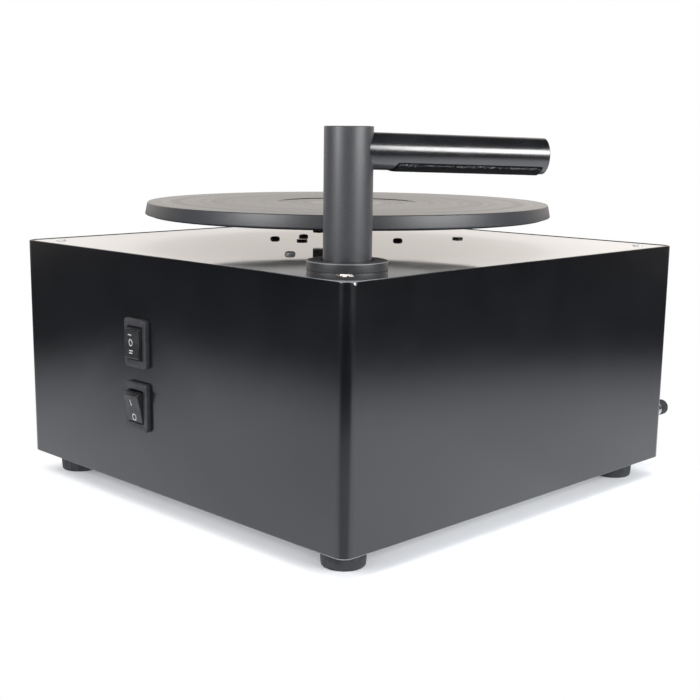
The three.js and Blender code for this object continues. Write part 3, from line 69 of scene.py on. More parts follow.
SPINDLE = (24.0, -26.5)
ARM_FOOT = (148.5, -151.0)
ARM_TURN, ARM_DROOP = 60, 1.5
ARM_AXIS_Z, ARM_REACH = 239.7, 122.5
POST_RADIUS, POST_BORE = 14.6, 9.5
POST_LOW, POST_TOP = 112.6, CASE_HEIGHT + 87
TUBE_RADIUS, TUBE_BORE = 10.9, 8.9
FLANGE_RADIUS, FLANGE_TOP = 24.3, PLATE_TOP + 9.4
SPRING_LOW, SPRING_HIGH, SPRING_PRESSED = 67.1, 110.3, 20.8

POST_GAP = 14.5
PLATTER_RADIUS = math.hypot(ARM_FOOT[0] - SPINDLE[0], ARM_FOOT[1] - SPINDLE[1]) - POST_RADIUS - POST_GAP
PLATTER_TOP = CASE_HEIGHT + 33.1
RIM_LOW, WEB_LOW = CASE_HEIGHT + 24.6, CASE_HEIGHT + 27.1
LABEL_RADIUS, LABEL_FLOOR = 51.5, PLATTER_TOP - 0.5
SHAFT_BORE = 4.3
BUSH_TOP = PLATE_TOP + 1.5
HUB_LOW = BUSH_TOP + 0.8

SWITCH_X = -28.6
MOTOR_SWITCH_Z, VACUUM_SWITCH_Z = 105, 60
SWITCH_FRONT = -HALF_DEPTH - 3.2
PIVOT_Y = SWITCH_FRONT + 1
INLET_X, INLET_Z, INLET_FACE = -120, 42, HALF_DEPTH + 2.5
SOCKET_FLOOR = INLET_FACE - 20
DRAIN_X, DRAIN_Z = 154, 31


def at(x, y, z):
    return ORIGIN + Vector((x, y, z)) * MM


def shift(x, y, z):
    return Matrix.Translation((x, y, z))


def turn(degrees, axis):
    return Matrix.Rotation(math.radians(degrees), 4, axis)


CENTRE = shift(*SPINDLE, 0)
FOOT_OF_ARM = shift(*ARM_FOOT, 0)
ARM = FOOT_OF_ARM @ turn(ARM_TURN, "Z")
ALONG = ARM @ shift(0, 0, ARM_AXIS_Z) @ turn(ARM_DROOP, "Y")
TUBE = ALONG @ turn(90, "Y")
DRAIN = shift(DRAIN_X, 0, DRAIN_Z) @ turn(-90, "X")


# Node trees
class Graph:
    """A node tree, with short forms for the nodes that the looks use most."""

    def __init__(self, owner):
        owner.use_nodes = True
        self.tree = owner.node_tree
        self.tree.nodes.clear()

    def join(self, output, socket):
        self.tree.links.new(output, socket)

    def node(self, kind, inputs=(), result=0, **settings):
        """Makes a node, feeds its inputs with values or other outputs, and returns one of its outputs."""
        made = self.tree.nodes.new(kind)
        for setting, value in settings.items():
            setattr(made, setting, value)
        for name, value in dict(inputs).items():
            if isinstance(value, bpy.types.NodeSocket):
                self.join(value, made.inputs[name])
            else:
                made.inputs[name].default_value = value
        return made.outputs[result]

    def math(self, kind, *values):
        return self.node("ShaderNodeMath", enumerate(values), operation=kind)

    def times(self, a, b):
        return self.math("MULTIPLY", a, b)

    def vector(self, kind, *values):
        result = "Value" if kind in ("LENGTH", "DISTANCE", "DOT_PRODUCT") else "Vector"
        return self.node("ShaderNodeVectorMath", enumerate(values), result, operation=kind)

    def spread(self, value, low, high, start=0.3, end=0.7, kind="LINEAR"):
        """Turns values from start to end into low to high, and holds the ends."""
        inputs = {"Value": value, "From Min": start, "From Max": end, "To Min": low, "To Max": high}
        return self.node("ShaderNodeMapRange", inputs, interpolation_type=kind)

    def fade(self, value, low, high, start, end):
        """A spread with soft ends."""
        return self.spread(value, low, high, start, end, "SMOOTHSTEP")

    def ray(self, kind):
        return self.node("ShaderNodeLightPath", result=f"Is {kind} Ray")

    def choose(self, share, a, b):
        """Shader a where the share is 0, and b where it is 1."""
        return self.node("ShaderNodeMixShader", {0: share, 1: a, 2: b})

    def shine(self, kind, strength, colour=(1, 1, 1)):
        return self.node(kind, {"Color": (*colour, 1), "Strength": strength})


class Finish(Graph):
    """A principled material, fed by the object's own coordinates."""

    def __init__(self, name, rough=0.5, metallic=0.0, ior=1.5, slot=None):
        self.material = bpy.data.materials.new(name)
        super().__init__(self.material)
        self.slot = name if slot is None else slot
        self.out = self.tree.nodes.new("ShaderNodeOutputMaterial")
        self.bsdf = self.tree.nodes.new("ShaderNodeBsdfPrincipled")
        self.join(self.bsdf.outputs[0], self.out.inputs["Surface"])
        self.set("Roughness", rough)
        self.set("Metallic", metallic)
        self.set("IOR", ior)
        self.place = self.node("ShaderNodeTexCoord", result="Object")

    def set(self, socket, value):
        self.bsdf.inputs[socket].default_value = value

    def noise(self, scale, detail=3.0, stretch=(1, 1, 1), offset=(0, 0, 0)):
        place = self.node("ShaderNodeMapping", {"Vector": self.place, "Scale": stretch, "Location": offset})
        return self.noise_on(place, scale, detail)

    def noise_on(self, place, scale, detail=3.0):
        return self.node("ShaderNodeTexNoise", {"Vector": place, "Scale": scale, "Detail": detail})

    def mix(self, share, a, b):
        inputs = {0: share}
        for socket, value in ((6, a), (7, b)):
            inputs[socket] = (*value, 1) if isinstance(value, tuple) else value
        return self.node("ShaderNodeMix", inputs, 2, data_type="RGBA")

    def paint(self, tint):
        self.tint = tint
        self.join(tint, self.bsdf.inputs["Base Color"])
        return self

    def colour(self, dark, light, scale, detail=3.0, stretch=(1, 1, 1)):
        """A grain of two colours."""
        grain = self.spread(self.noise(scale, detail, stretch), 0, 1)
        return self.paint(self.mix(grain, dark, light))

    def patch(self, where, colour, amount=1):
        """Paints over the tint where `where` is 1, as strongly as the amount."""
        share = where if amount == 1 else self.times(where, amount)
        return self.paint(self.mix(share, self.tint, colour))

    def dull(self, value):
        self.join(value, self.bsdf.inputs["Roughness"])
        return self

    def roughness(self, low, high, scale, detail=3.0, stretch=(1, 1, 1)):
        return self.dull(self.spread(self.noise(scale, detail, stretch, offset=(3, 5, 7)), low, high))

    def bump(self, height, scale, detail=2.0, stretch=(1, 1, 1)):
        inputs = {"Strength": 1, "Distance": height * MM, "Height": self.noise(scale, detail, stretch)}
        self.join(self.node("ShaderNodeBump", inputs), self.bsdf.inputs["Normal"])
        return self

    def factor(self, where, amount):
        """The amount where `where` is 1, and 1 where it is 0."""
        return self.math("MULTIPLY_ADD", where, amount - 1, 1)

    def near(self, x, y, z, reach):
        """1 at a place and 0 from reach outwards."""
        return self.spread(self.vector("DISTANCE", self.place, at(x, y, z)), 1, 0, 0, reach * MM)

    def rise(self, low, high):
        """0 at one height and 1 at the other, which may be the lower one."""
        height = self.node("ShaderNodeSeparateXYZ", {0: self.place}, "Z")
        return self.spread(height, 0, 1, at(0, 0, low).z, at(0, 0, high).z)

    def radius(self, x, y):
        """The distance from an upright axis, in metres."""
        centre = at(x, y, 0)
        flat = self.vector("MULTIPLY_ADD", self.place, (1, 1, 0), (-centre.x, -centre.y, 0))
        return self.vector("LENGTH", flat)

    def chips(self, where, scale, level, colour):
        """Small chips in the paint, more of them where `where` is high."""
        grain = self.times(self.noise(scale, 4.0), where)
        return self.patch(self.spread(grain, 0, 1, level, level + 0.06), colour)


# Finishes that need more than a grain of colour and gloss
def case_finish():
    """Gloss black paint, chipped at the front right corner, lighter along its top edge there, and with a
    painted highlight along its lower edge there.
    """
    made = Finish("case_black", 0.2, ior=1.75)
    made.colour((0.0022, 0.0024, 0.0032), (0.004, 0.0043, 0.0056), scale=35)
    made.roughness(0.19, 0.22, scale=180).bump(0.003, scale=900, detail=1)
    # Lighter along the top edge near the front right corner.
    upper_edge = made.rise(CASE_HEIGHT - 0.4, CASE_HEIGHT - 0.1)
    corner = made.near(HALF_WIDTH - 5, 5.5 - HALF_DEPTH, CASE_HEIGHT, reach=70)
    made.patch(made.times(corner, upper_edge), (0.3, 0.31, 0.33), 0.7)
    # Painted highlight along the round of the lower edge, near the front right corner.
    painted_highlight_edge = made.rise(0.7, 0.5)
    corner = made.near(HALF_WIDTH - 2.4, 2.4 - HALF_DEPTH, 0, reach=36)
    made.patch(made.times(corner, painted_highlight_edge), (0.3, 0.29, 0.29), 0.8)
    corner = made.near(HALF_WIDTH - 0.2, 6.9 - HALF_DEPTH, CASE_HEIGHT - 1.2, reach=3.6)
    return made.chips(corner, 1300, 0.39, (0.66, 0.67, 0.69))


def platter_finish():
    """Turned black with fine rings, a duller rim and a brown underside."""
    made = Finish("platter_black", 0.35, ior=1.6)
    away = made.radius(*SPINDLE)
    rings = made.spread(made.noise_on(away, 900), 0, 1)
    gloss = made.spread(made.noise_on(away, 70, 4.0), 0.22, 0.31)
    made.colour((0.0105, 0.011, 0.0135), (0.0165, 0.0175, 0.0205), scale=700, detail=4)
    made.patch(rings, (0.0195, 0.0205, 0.0235), 0.5)
    brown_radius = 139.2
    inside = made.math("LESS_THAN", away, brown_radius * MM)
    underside = made.times(made.rise(WEB_LOW + 1.3, WEB_LOW + 0.9), inside)
    made.patch(underside, (0.2, 0.16, 0.12))
    rim = made.math("GREATER_THAN", away, (PLATTER_RADIUS - 1.9) * MM)
    made.patch(rim, (0.03, 0.031, 0.035), 0.6)
    made.dull(made.times(made.times(gloss, made.factor(underside, 0.4)), made.factor(rim, 1.55)))
    return made.bump(0.004, scale=300)


def post_finish():
    """Satin grey on the post, with the flange below it darker, chipped, and with a painted highlight along
    the flange's upper edge.
    """
    made = Finish("post_grey", 0.42, ior=1.75)
    made.colour((0.022, 0.023, 0.026), (0.034, 0.035, 0.039), scale=1200, stretch=(0.35, 0.35, 1))
    made.patch(made.rise(FLANGE_TOP + 0.15, FLANGE_TOP + 0.05), (0.008, 0.008, 0.0095), 0.75)
    # Painted highlight along the flange's upper outer edge.
    outer = made.math("GREATER_THAN", made.radius(*ARM_FOOT), (FLANGE_RADIUS - 0.5) * MM)
    made.patch(made.times(made.rise(FLANGE_TOP - 0.7, FLANGE_TOP - 0.4), outer), (0.3, 0.3, 0.31), 0.3)
    made.roughness(0.38, 0.48, scale=1400, detail=2, stretch=(0.3, 0.3, 1))
    made.bump(0.006, scale=1500, stretch=(0.5, 0.5, 1))
    above, below = made.rise(PLATE_TOP + 1.7, PLATE_TOP + 2.2), made.rise(PLATE_TOP + 4.1, PLATE_TOP + 3.5)
    front = made.near(ARM_FOOT[0] + 16.4, ARM_FOOT[1] - 17.9, PLATE_TOP + 3, reach=16)
    return made.chips(made.times(front, made.times(above, below)), 1000, 0.38, (0.66, 0.61, 0.56))


case_black = case_finish()
platter_black = platter_finish()
post_grey = post_finish()

# The other finishes
top_gloss = Finish("top_gloss", 0.03, ior=1.65)
top_gloss.colour((0.252, 0.247, 0.242), (0.282, 0.277, 0.27), scale=18).roughness(0.025, 0.06, scale=25)

base_sheet = Finish("base_sheet", 0.5, metallic=0.85)
base_sheet.colour((0.27, 0.28, 0.29), (0.42, 0.43, 0.44), scale=90, detail=4)
base_sheet.roughness(0.4, 0.6, scale=140).bump(0.01, scale=500)

zinc_sheet = Finish("zinc_sheet", 0.45, metallic=0.85)
zinc_sheet.colour((0.3, 0.31, 0.32), (0.5, 0.51, 0.52), scale=130, detail=4)
zinc_sheet.roughness(0.35, 0.55, scale=160).bump(0.01, scale=600)

rubber_black = Finish("rubber_black", 0.75)
rubber_black.colour((0.014, 0.0155, 0.017), (0.03, 0.033, 0.036), scale=220)
rubber_black.roughness(0.65, 0.85, scale=260).bump(0.03, scale=1400)

lead_black = Finish("lead_black", 0.5)
lead_black.colour((0.01, 0.01, 0.011), (0.022, 0.022, 0.023), scale=160)
lead_black.roughness(0.4, 0.6, scale=240).bump(0.02, scale=900)

screw_steel = Finish("screw_steel", 0.4, metallic=0.5)
screw_steel.colour((0.6, 0.6, 0.59), (0.8, 0.8, 0.79), scale=900)
screw_steel.roughness(0.32, 0.46, scale=1200).bump(0.01, scale=1500)

screw_black = Finish("screw_black", 0.3, metallic=0.1)
screw_black.colour((0.006, 0.006, 0.007), (0.016, 0.016, 0.018), scale=700)
screw_black.roughness(0.22, 0.4, scale=900).bump(0.01, scale=1500)

aluminium = Finish("machined_aluminium", 0.35, metallic=1.0)
aluminium.colour((0.42, 0.42, 0.42), (0.6, 0.6, 0.6), scale=1600, stretch=(0.05, 0.05, 1))
aluminium.roughness(0.28, 0.42, scale=900)

shaft_steel = Finish("shaft_steel", 0.25, metallic=1.0)
shaft_steel.colour((0.5, 0.5, 0.5), (0.7, 0.7, 0.69), scale=1600, stretch=(0.05, 0.05, 1))
shaft_steel.roughness(0.18, 0.3, scale=700)

bronze = Finish("bush_bronze", 0.4, metallic=1.0)
bronze.colour((0.3, 0.2, 0.09), (0.45, 0.31, 0.15), scale=700)
bronze.roughness(0.3, 0.5, scale=600).bump(0.01, scale=1200)

nylon = Finish("nylon", 0.5)
nylon.colour((0.62, 0.6, 0.52), (0.74, 0.72, 0.65), scale=60)
nylon.roughness(0.45, 0.6, scale=150).bump(0.01, scale=500)

capacitor = Finish("capacitor_can", 0.35, metallic=0.9)
capacitor.colour((0.5, 0.5, 0.5), (0.66, 0.66, 0.65), scale=300)
capacitor.roughness(0.28, 0.42, scale=400).bump(0.01, scale=600)

arm_black = Finish("arm_black", 0.12, ior=2.0)
arm_black.colour((0.004, 0.0042, 0.005), (0.009, 0.0095, 0.011), scale=60)
arm_black.roughness(0.2, 0.27, scale=90).bump(0.004, scale=500)

plastic_black = Finish("plastic_black", 0.35)
plastic_black.colour((0.008, 0.008, 0.009), (0.017, 0.017, 0.019), scale=250)
plastic_black.roughness(0.28, 0.42, scale=500).bump(0.008, scale=1800)

bezel_black = Finish("bezel_black", 0.5, slot="plastic_black")
bezel_black.colour((0.018, 0.018, 0.0205), (0.032, 0.032, 0.0345), scale=250).bump(0.015, scale=2000)
bezel_black.dull(bezel_black.spread(bezel_black.noise(500), 0.42, 0.58))

mark_white = Finish("mark_white", 0.5, slot="")
mark_white.colour((0.42, 0.42, 0.42), (0.6, 0.6, 0.6), scale=900).roughness(0.45, 0.6, scale=900)

velvet = Finish("velvet", 0.95)
velvet.colour((0.0015, 0.0015, 0.002), (0.006, 0.006, 0.007), scale=900, detail=5)
velvet.bump(0.1, scale=1500, detail=3)
velvet.set("Sheen Weight", 0.05)
velvet.set("Sheen Roughness", 0.4)
velvet.set("Specular IOR Level", 0.1)

lint = Finish("lint", 0.8, slot="")
lint.colour((0.12, 0.12, 0.12), (0.4, 0.4, 0.4), scale=600)

tank_plastic = Finish("tank_plastic", 0.4)
tank_plastic.colour((0.62, 0.63, 0.6), (0.74, 0.75, 0.72), scale=40)
tank_plastic.roughness(0.35, 0.5, scale=120).bump(0.01, scale=400)

nickel = Finish("nickel", 0.2, metallic=1.0)
nickel.colour((0.52, 0.51, 0.49), (0.68, 0.67, 0.65), scale=500).roughness(0.14, 0.28, scale=700)

# Nodes of the part that are shown as they are
BRACKETS = [f"corner_bracket_{end}_{side}" for end in ("front", "rear") for side in ("left", "right")]
for made_of, nodes in [
    (top_gloss, ["top_plate"]),
    (base_sheet, ["bottom_plate"]),
    (zinc_sheet, [*BRACKETS, "tank_stand", "bulkhead", "gearbox_plate"]),
    (aluminium, ["drive_motor_case", "gearbox_case", "fan_rotor"]),
    (shaft_steel, ["motor_rotor"]),
    (nylon, ["drive_gear", "guide_bush", "spring_cup", "thrust_washer"]),
    (capacitor, ["run_capacitor"]),
    (tank_plastic, ["tank_body", "tank_lid"]),
    (rubber_black, ["tank_gasket", "fan_seal", "drain_hose", "suction_hose"]),
    (lead_black, ["mains_lead", "motor_lead"]),
    (plastic_black, ["fan_housing"]),
    (screw_black, ["vacuum_motor_case"]),
]:
    for node in nodes:
        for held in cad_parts[node].material_slots:
            held.material = made_of.material


# Shapes
def eased(points, closed=False, steps=5):
    """A 2-D outline whose points (a, b, radius) get a round of that radius."""
    nearly_straight, share_of_side = 3.1, 0.49
    made = []
    count = len(points)
    for i, point in enumerate(points):
        here = Vector(point[:2])
        radius = point[2] if len(point) > 2 else 0
        to_last = Vector(points[i - 1][:2]) - here
        to_next = Vector(points[(i + 1) % count][:2]) - here
        at_end = not closed and i in (0, count - 1)
        if not radius or at_end or to_last.angle(to_next) > nearly_straight:
            made.append(tuple(here))
            continue
        half = to_last.angle(to_next) / 2
        reach = min(radius / math.tan(half), to_last.length * share_of_side, to_next.length * share_of_side)
        radius = reach * math.tan(half)
        last_way, next_way = to_last.normalized(), to_next.normalized()
        centre = here + (last_way + next_way).normalized() * (radius / math.sin(half))
        start, end = here + last_way * reach - centre, here + next_way * reach - centre
        sweep = math.atan2(start.x * end.y - start.y * end.x, start.dot(end))
        for k in range(steps + 1):
            cosine, sine = math.cos(sweep * k / steps), math.sin(sweep * k / steps)
            x, y = start.x * cosine - start.y * sine, start.x * sine + start.y * cosine
            made.append((centre.x + x, centre.y + y))
    return made


def lathe(profile, sides=128, closed=False):
    """Points and faces of a profile of (radius, height) turned about Z, with single points on the axis."""
    points, faces, rings = [], [], []
    for radius, height in profile:
        if radius == 0:
            rings.append([len(points)] * sides)
            points.append((0, 0, height))
            continue
        rings.append(range(len(points), len(points) + sides))
        for k in range(sides):
            angle = 2 * math.pi * k / sides
            points.append((radius * math.cos(angle), radius * math.sin(angle), height))
    pairs = list(zip(rings, rings[1:]))
    if closed:
        pairs.append((rings[-1], rings[0]))
    for a, b in pairs:
        for k in range(sides):
            j = (k + 1) % sides
            corners = [a[k], a[j], b[j], b[k]]
            face = [c for i, c in enumerate(corners) if c not in corners[:i]]
            if len(face) > 2:
                faces.append(face)
    return points, faces


def rod(radius, low, high, sides):
    """A round bar about Z."""
    return lathe([(0, low), (radius, low), (radius, high), (0, high)], sides)


def loft(sections, closed=False):
    """Points and faces of a skin over sections with the same number of points."""
    count, size = len(sections), len(sections[0])
    points = [p for section in sections for p in section]
    faces = []
    for i in range(count if closed else count - 1):
        a, b = i * size, (i + 1) % count * size
        for k in range(size):
            j = (k + 1) % size
            faces.append((a + k, a + j, b + j, b + k))
    if not closed:
        faces.append(tuple(reversed(range(size))))
        faces.append(tuple(range((count - 1) * size, count * size)))
    return points, faces


def rectangle(half_width, half_height, radius, steps=6):
    """A 2-D outline with round corners."""
    points = []
    for side_x, side_y, start in [(1, 1, 0), (-1, 1, 90), (-1, -1, 180), (1, -1, 270)]:
        for k in range(steps + 1):
            angle = math.radians(start + 90 * k / steps)
            x = side_x * (half_width - radius) + radius * math.cos(angle)
            points.append((x, side_y * (half_height - radius) + radius * math.sin(angle)))
    return points


def sleeve(sections):
    """A skin over rounded rectangles of half width, half height, corner radius and y."""
    rings = []
    for half_width, half_height, radius, y in sections:
        rings.append([(x, y, z) for x, z in rectangle(half_width, half_height, radius)])
    return loft(rings)


def box(x0, x1, y0, y1, z0, z1):
    points = [(x, y, z) for z in (z0, z1) for y in (y0, y1) for x in (x0, x1)]
    faces = [(0, 2, 3, 1), (4, 5, 7, 6), (0, 1, 5, 4), (2, 6, 7, 3), (0, 4, 6, 2), (1, 3, 7, 5)]
    return points, faces


def window(x, z, half_width, half_height, y0, y1):
    """A box round a place on the front or back wall, or on the inlet."""
    return box(x - half_width, x + half_width, y0, y1, z - half_height, z + half_height)


def moved(shape, matrix):
    points, faces = shape
    return [tuple(matrix @ Vector(p)) for p in points], faces


def together(*shapes):
    points, faces = [], []
    for more, ends in shapes:
        base = len(points)
        points += list(more)
        faces += [tuple(base + k for k in face) for face in ends]
    return points, faces


def raw(name, shape, matrix=Matrix.Identity(4)):
    """An object with the shape as its mesh, and no looks yet."""
    points, faces = shape
    data = bpy.data.meshes.new(name)
    data.from_pydata([at(*(matrix @ Vector(p))) for p in points], [], faces)
    work = bmesh.new()
    work.from_mesh(data)
    bmesh.ops.recalc_face_normals(work, faces=work.faces)
    work.to_mesh(data)
    work.free()
    made = bpy.data.objects.new(name, data)
    scene.collection.objects.link(made)
    return made


def carve(made, *cutters):
    """Cuts the cutters out of the piece and removes them."""
    for cutter in cutters:
        tool = made.modifiers.new("cut", "BOOLEAN")
        tool.operation = "DIFFERENCE"
        tool.solver = "EXACT"
        tool.object = cutter
    bpy.context.view_layer.update()
    graph = bpy.context.evaluated_depsgraph_get()
    data = bpy.data.meshes.new_from_object(made.evaluated_get(graph))
    made.modifiers.clear()
    made.data = data
    for cutter in cutters:
        bpy.data.objects.remove(cutter)
    return made


def soften(made, width):
    """Rounds the sharp edges of a mesh."""
    work = bmesh.new()
    work.from_mesh(made.data)
    sharp = [e for e in work.edges if len(e.link_faces) == 2 and e.calc_face_angle(0) > math.radians(40)]
    bmesh.ops.bevel(work, geom=sharp, offset=width * MM, segments=3, affect="EDGES", profile=0.5)
    work.to_mesh(made.data)
    work.free()


def piece(name, shape, made_of, body, stands_for=(), matrix=Matrix.Identity(4), edge=0, sharp=32):
    """A visible piece that moves with a body and may stand for nodes of the part."""
    made = shape if isinstance(shape, bpy.types.Object) else raw(name, shape, matrix)
    made.name = name
    if edge:
        soften(made, edge)
    made.data.materials.clear()
    made.data.materials.append(made_of.material)
    made.data.shade_smooth()
    made.data.set_sharp_from_angle(angle=math.radians(sharp))
    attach(made, body)
    if stands_for:
        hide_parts(*stands_for)
    return made


# Case: rounded outlines up the wall's outside and down its inside, with vents and holes cut through
def case_wall():
    section = eased(
        [(0, 0, 0.6), (0, CASE_HEIGHT, 0.7), (WALL, CASE_HEIGHT, 0.3), (WALL, 0, 0.3)], closed=True, steps=4)
    outlines = []
    for inset, height in section:
        outline = rectangle(HALF_WIDTH - inset, HALF_DEPTH - inset, CORNER - inset, steps=12)
        outlines.append([(x, y, height) for x, y in outline])
    return loft(list(zip(*outlines)), closed=True)


def vents():
    count, pitch, middle_x, middle_z = 10, 9, -100, 108
    slots = []
    for i in range(count):
        x = middle_x + (i - (count - 1) / 2) * pitch
        outline = rectangle(half_width=2, half_height=22, radius=1.95, steps=8)
        ends = (HALF_DEPTH + 3, HALF_DEPTH - 5)
        slots.append(loft([[(x + a, y, middle_z + b) for a, b in outline] for y in ends]))
    return together(*slots)


cutters = [raw("cut_vents", vents())]
for z in (MOTOR_SWITCH_Z, VACUUM_SWITCH_Z):
    opening = window(
        SWITCH_X, z, half_width=11.1, half_height=15.85, y0=-HALF_DEPTH - 6.5, y1=-HALF_DEPTH + 3.5)
    cutters.append(raw("cut_switch", opening))
opening = window(
    INLET_X, INLET_Z, half_width=13.8, half_height=22.3, y0=HALF_DEPTH - 3.5, y1=HALF_DEPTH + 2.5)
cutters.append(raw("cut_inlet", opening))
opening = rod(radius=4.5, low=HALF_DEPTH - 7.5, high=HALF_DEPTH + 6.5, sides=48)
cutters.append(raw("cut_drain", opening, DRAIN))
housing = carve(raw("case_wall", case_wall()), *cutters)
piece("case_housing", housing, case_black, "chassis", ["housing"])

FOOT = eased([(0, -15), (14.2, -15, 1.6), (15.2, 0, 0.3), (2.5, 0), (2.5, 9), (0, 9)])
for end, y in (("front", FOOT_INSET - HALF_DEPTH), ("rear", HALF_DEPTH - FOOT_INSET)):
    for side, x in (("left", FOOT_INSET - HALF_WIDTH), ("right", HALF_WIDTH - FOOT_INSET)):
        node = f"foot_{end}_{side}"
        piece(f"rubber_{node}", lathe(FOOT, 72), rubber_black, "chassis", [node], shift(x, y, 0))

# Screws with a cross in the head
SHANK = [(0, -9), (1.9, -9), (1.9, 0)]
PAN_HEAD = SHANK + [(3.8, 0, 0.15), (3.8, 1.1, 0.6), (2.6, 1.98, 0.8), (0, 2.2)]
FLAT_HEAD = SHANK + [(3.9, 0, 0.1), (3.9, 0.5, 0.2), (3.4, 0.85, 0.3), (0, 1)]


def screw(x, y, turned, flat):
    head, cross_low = (FLAT_HEAD, 0.2) if flat else (PAN_HEAD, 1)
    spot = shift(x, y, PLATE_TOP)
    bars = [box(-2, 2, -0.4, 0.4, cross_low, 3), box(-0.4, 0.4, -2, 2, cross_low, 3)]
    cuts = [raw("cut_cross", moved(bar, turn(turned, "Z")), spot) for bar in bars]
    return carve(raw("screw", lathe(eased(head), 40), spot), *cuts)


for name, x, y, made_of, turned in [
    ("plate_screw_front_left", -PLATE_SCREW_X, -PLATE_SCREW_Y, screw_steel, 20),
    ("plate_screw_rear_left", -PLATE_SCREW_X, PLATE_SCREW_Y, screw_steel, 51),
    ("plate_screw_rear_right", PLATE_SCREW_X, PLATE_SCREW_Y, screw_steel, 8),
    ("bulkhead_screw_front", -61, -21, screw_black, 33),
    ("bulkhead_screw_rear", -61, 10, screw_black, 70),
    ("gearbox_screw_front", 35, -93, screw_steel, 12),
    ("gearbox_screw_rear", 12, 43, screw_black, 57),
]:
    piece(f"head_{name}", screw(x, y, turned, name.startswith("plate")), made_of, "chassis", [name])

# Flat heads on the plate that carry nothing in the part
DISC = eased([(0, -1), (2, -1), (2, 0), (4.2, 0, 0.1), (4.2, 1.3, 0.4), (0, 1.3)])
for name, x, y in [("plate_disc_front", -35, -16), ("plate_disc_rear", 30, 94.5)]:
    piece(name, lathe(DISC, 40), screw_black, "chassis", matrix=shift(x, y, PLATE_TOP))

# Platter, the small block that the photo shows under it, hub, spindle and bush
PLATTER = eased(
    [(SHAFT_BORE, WEB_LOW), (PLATTER_RADIUS - 9, WEB_LOW, 0.5), (PLATTER_RADIUS - 9, RIM_LOW - 1.2, 0.2),
     (PLATTER_RADIUS - 4, RIM_LOW - 1.2, 0.2), (PLATTER_RADIUS - 4, RIM_LOW, 0.2),
     (PLATTER_RADIUS, RIM_LOW, 0.6), (PLATTER_RADIUS - 1.7, PLATTER_TOP - 0.4, 0.3),
     (PLATTER_RADIUS - 2.1, PLATTER_TOP, 0.3), (LABEL_RADIUS + 0.5, PLATTER_TOP, 0.15),
     (LABEL_RADIUS, LABEL_FLOOR, 0.1), (SHAFT_BORE, LABEL_FLOOR)], closed=True)
disc = lathe(PLATTER, 288, closed=True)
piece("turning_platter", disc, platter_black, "platter", ["platter"], CENTRE, sharp=40)
BLOCK = box(-32.5, -25.5, -7, -1, CASE_HEIGHT + 5.8, WEB_LOW + 0.3)
piece("underside_block", BLOCK, screw_black, "platter", edge=0.5)
HUB = eased(
    [(SHAFT_BORE, HUB_LOW), (11, HUB_LOW, 0.5), (11, WEB_LOW - 4, 0.6), (17, WEB_LOW - 4, 0.5),
     (17, WEB_LOW), (SHAFT_BORE, WEB_LOW)], closed=True)
piece("hub", lathe(HUB, 96, closed=True), aluminium, "platter", ["platter_hub"], CENTRE)
SHAFT = eased(
    [(0, 136), (4, 136), (4, LABEL_FLOOR), (3.6, LABEL_FLOOR), (3.6, PLATTER_TOP + 14, 1.2),
     (1.8, PLATTER_TOP + 16, 1), (0, PLATTER_TOP + 16)])
piece("spindle", lathe(SHAFT, 64), shaft_steel, "platter", ["spindle_shaft"], CENTRE)
BUSH = eased(
    [(SHAFT_BORE, 155.2), (9, 155.2), (9, PLATE_TOP), (12, PLATE_TOP, 0.2), (12, BUSH_TOP, 0.5),
     (SHAFT_BORE, BUSH_TOP)], closed=True)
piece("bush", lathe(BUSH, 64, closed=True), bronze, "chassis", ["shaft_bush"], CENTRE)

# Arm: post, tube cut to the post and slotted below, end plug and the flange on the plate
POST = eased(
    [(POST_BORE, POST_LOW), (POST_RADIUS, POST_LOW, 0.3), (POST_RADIUS, POST_TOP, 0.7), (0, POST_TOP),
     (0, POST_TOP - 4), (POST_BORE, POST_TOP - 4)], closed=True)
piece("post", lathe(POST, 128, closed=True), post_grey, "arm", ["arm_post"], ARM)
TUBE_WALL = eased(
    [(TUBE_BORE, 0), (TUBE_RADIUS, 0), (TUBE_RADIUS, ARM_REACH, 0.6), (TUBE_BORE, ARM_REACH, 0.3)],
    closed=True)
tube = raw("tube", lathe(TUBE_WALL, 128, closed=True), TUBE)
saddle = raw("cut_post", rod(POST_RADIUS + 0.02, 220, 258, 128), ARM)
slit = raw("cut_slot", box(25.5, 116.5, -1.3, 1.3, -14, 0), ALONG)
piece("suction_tube", carve(tube, saddle, slit), arm_black, "arm", ["arm_tube"])
PLUG = eased([(0, ARM_REACH - 4), (8.88, ARM_REACH - 4), (8.88, ARM_REACH - 0.2, 0.4), (0, ARM_REACH - 0.2)])
piece("end_plug", lathe(PLUG, 96), plastic_black, "arm", ["arm_end_cap"], TUBE)
FLANGE = eased(
    [(15.9, PLATE_TOP), (FLANGE_RADIUS, PLATE_TOP, 0.2), (FLANGE_RADIUS, PLATE_TOP + 3.6, 0.15),
     (23.7, PLATE_TOP + 3.6), (23.7, PLATE_TOP + 4.2), (FLANGE_RADIUS, PLATE_TOP + 4.2, 0.15),
     (FLANGE_RADIUS, FLANGE_TOP, 0.6), (15.9, FLANGE_TOP, 0.4)], closed=True)
piece("flange", lathe(FLANGE, 144, closed=True), post_grey, "chassis", ["arm_flange"], FOOT_OF_ARM)


# Lift spring under the post, which the arm presses together
def coil(low, high, radius, wire, open_turns, steps=48):
    """A spring with a closed turn at each end."""
    wire_sides, closed = 12, 2 * wire + 0.1
    pitch = (high - low - 2 * wire - 2 * closed) / open_turns
    sections = []
    for i in range(steps * (open_turns + 2) + 1):
        turns = i / steps
        opened = min(max(turns - 1, 0), open_turns)
        rise = closed * min(turns, 1) + pitch * opened + closed * max(turns - 1 - open_turns, 0)
        cosine, sine = math.cos(2 * math.pi * turns), math.sin(2 * math.pi * turns)
        ring = []
        for k in range(wire_sides):
            angle = 2 * math.pi * k / wire_sides
            out, lift = wire * math.cos(angle), wire * math.sin(angle)
            ring.append(((radius + out) * cosine, (radius + out) * sine, low + wire + rise + lift))
        sections.append(ring)
    return loft(sections)


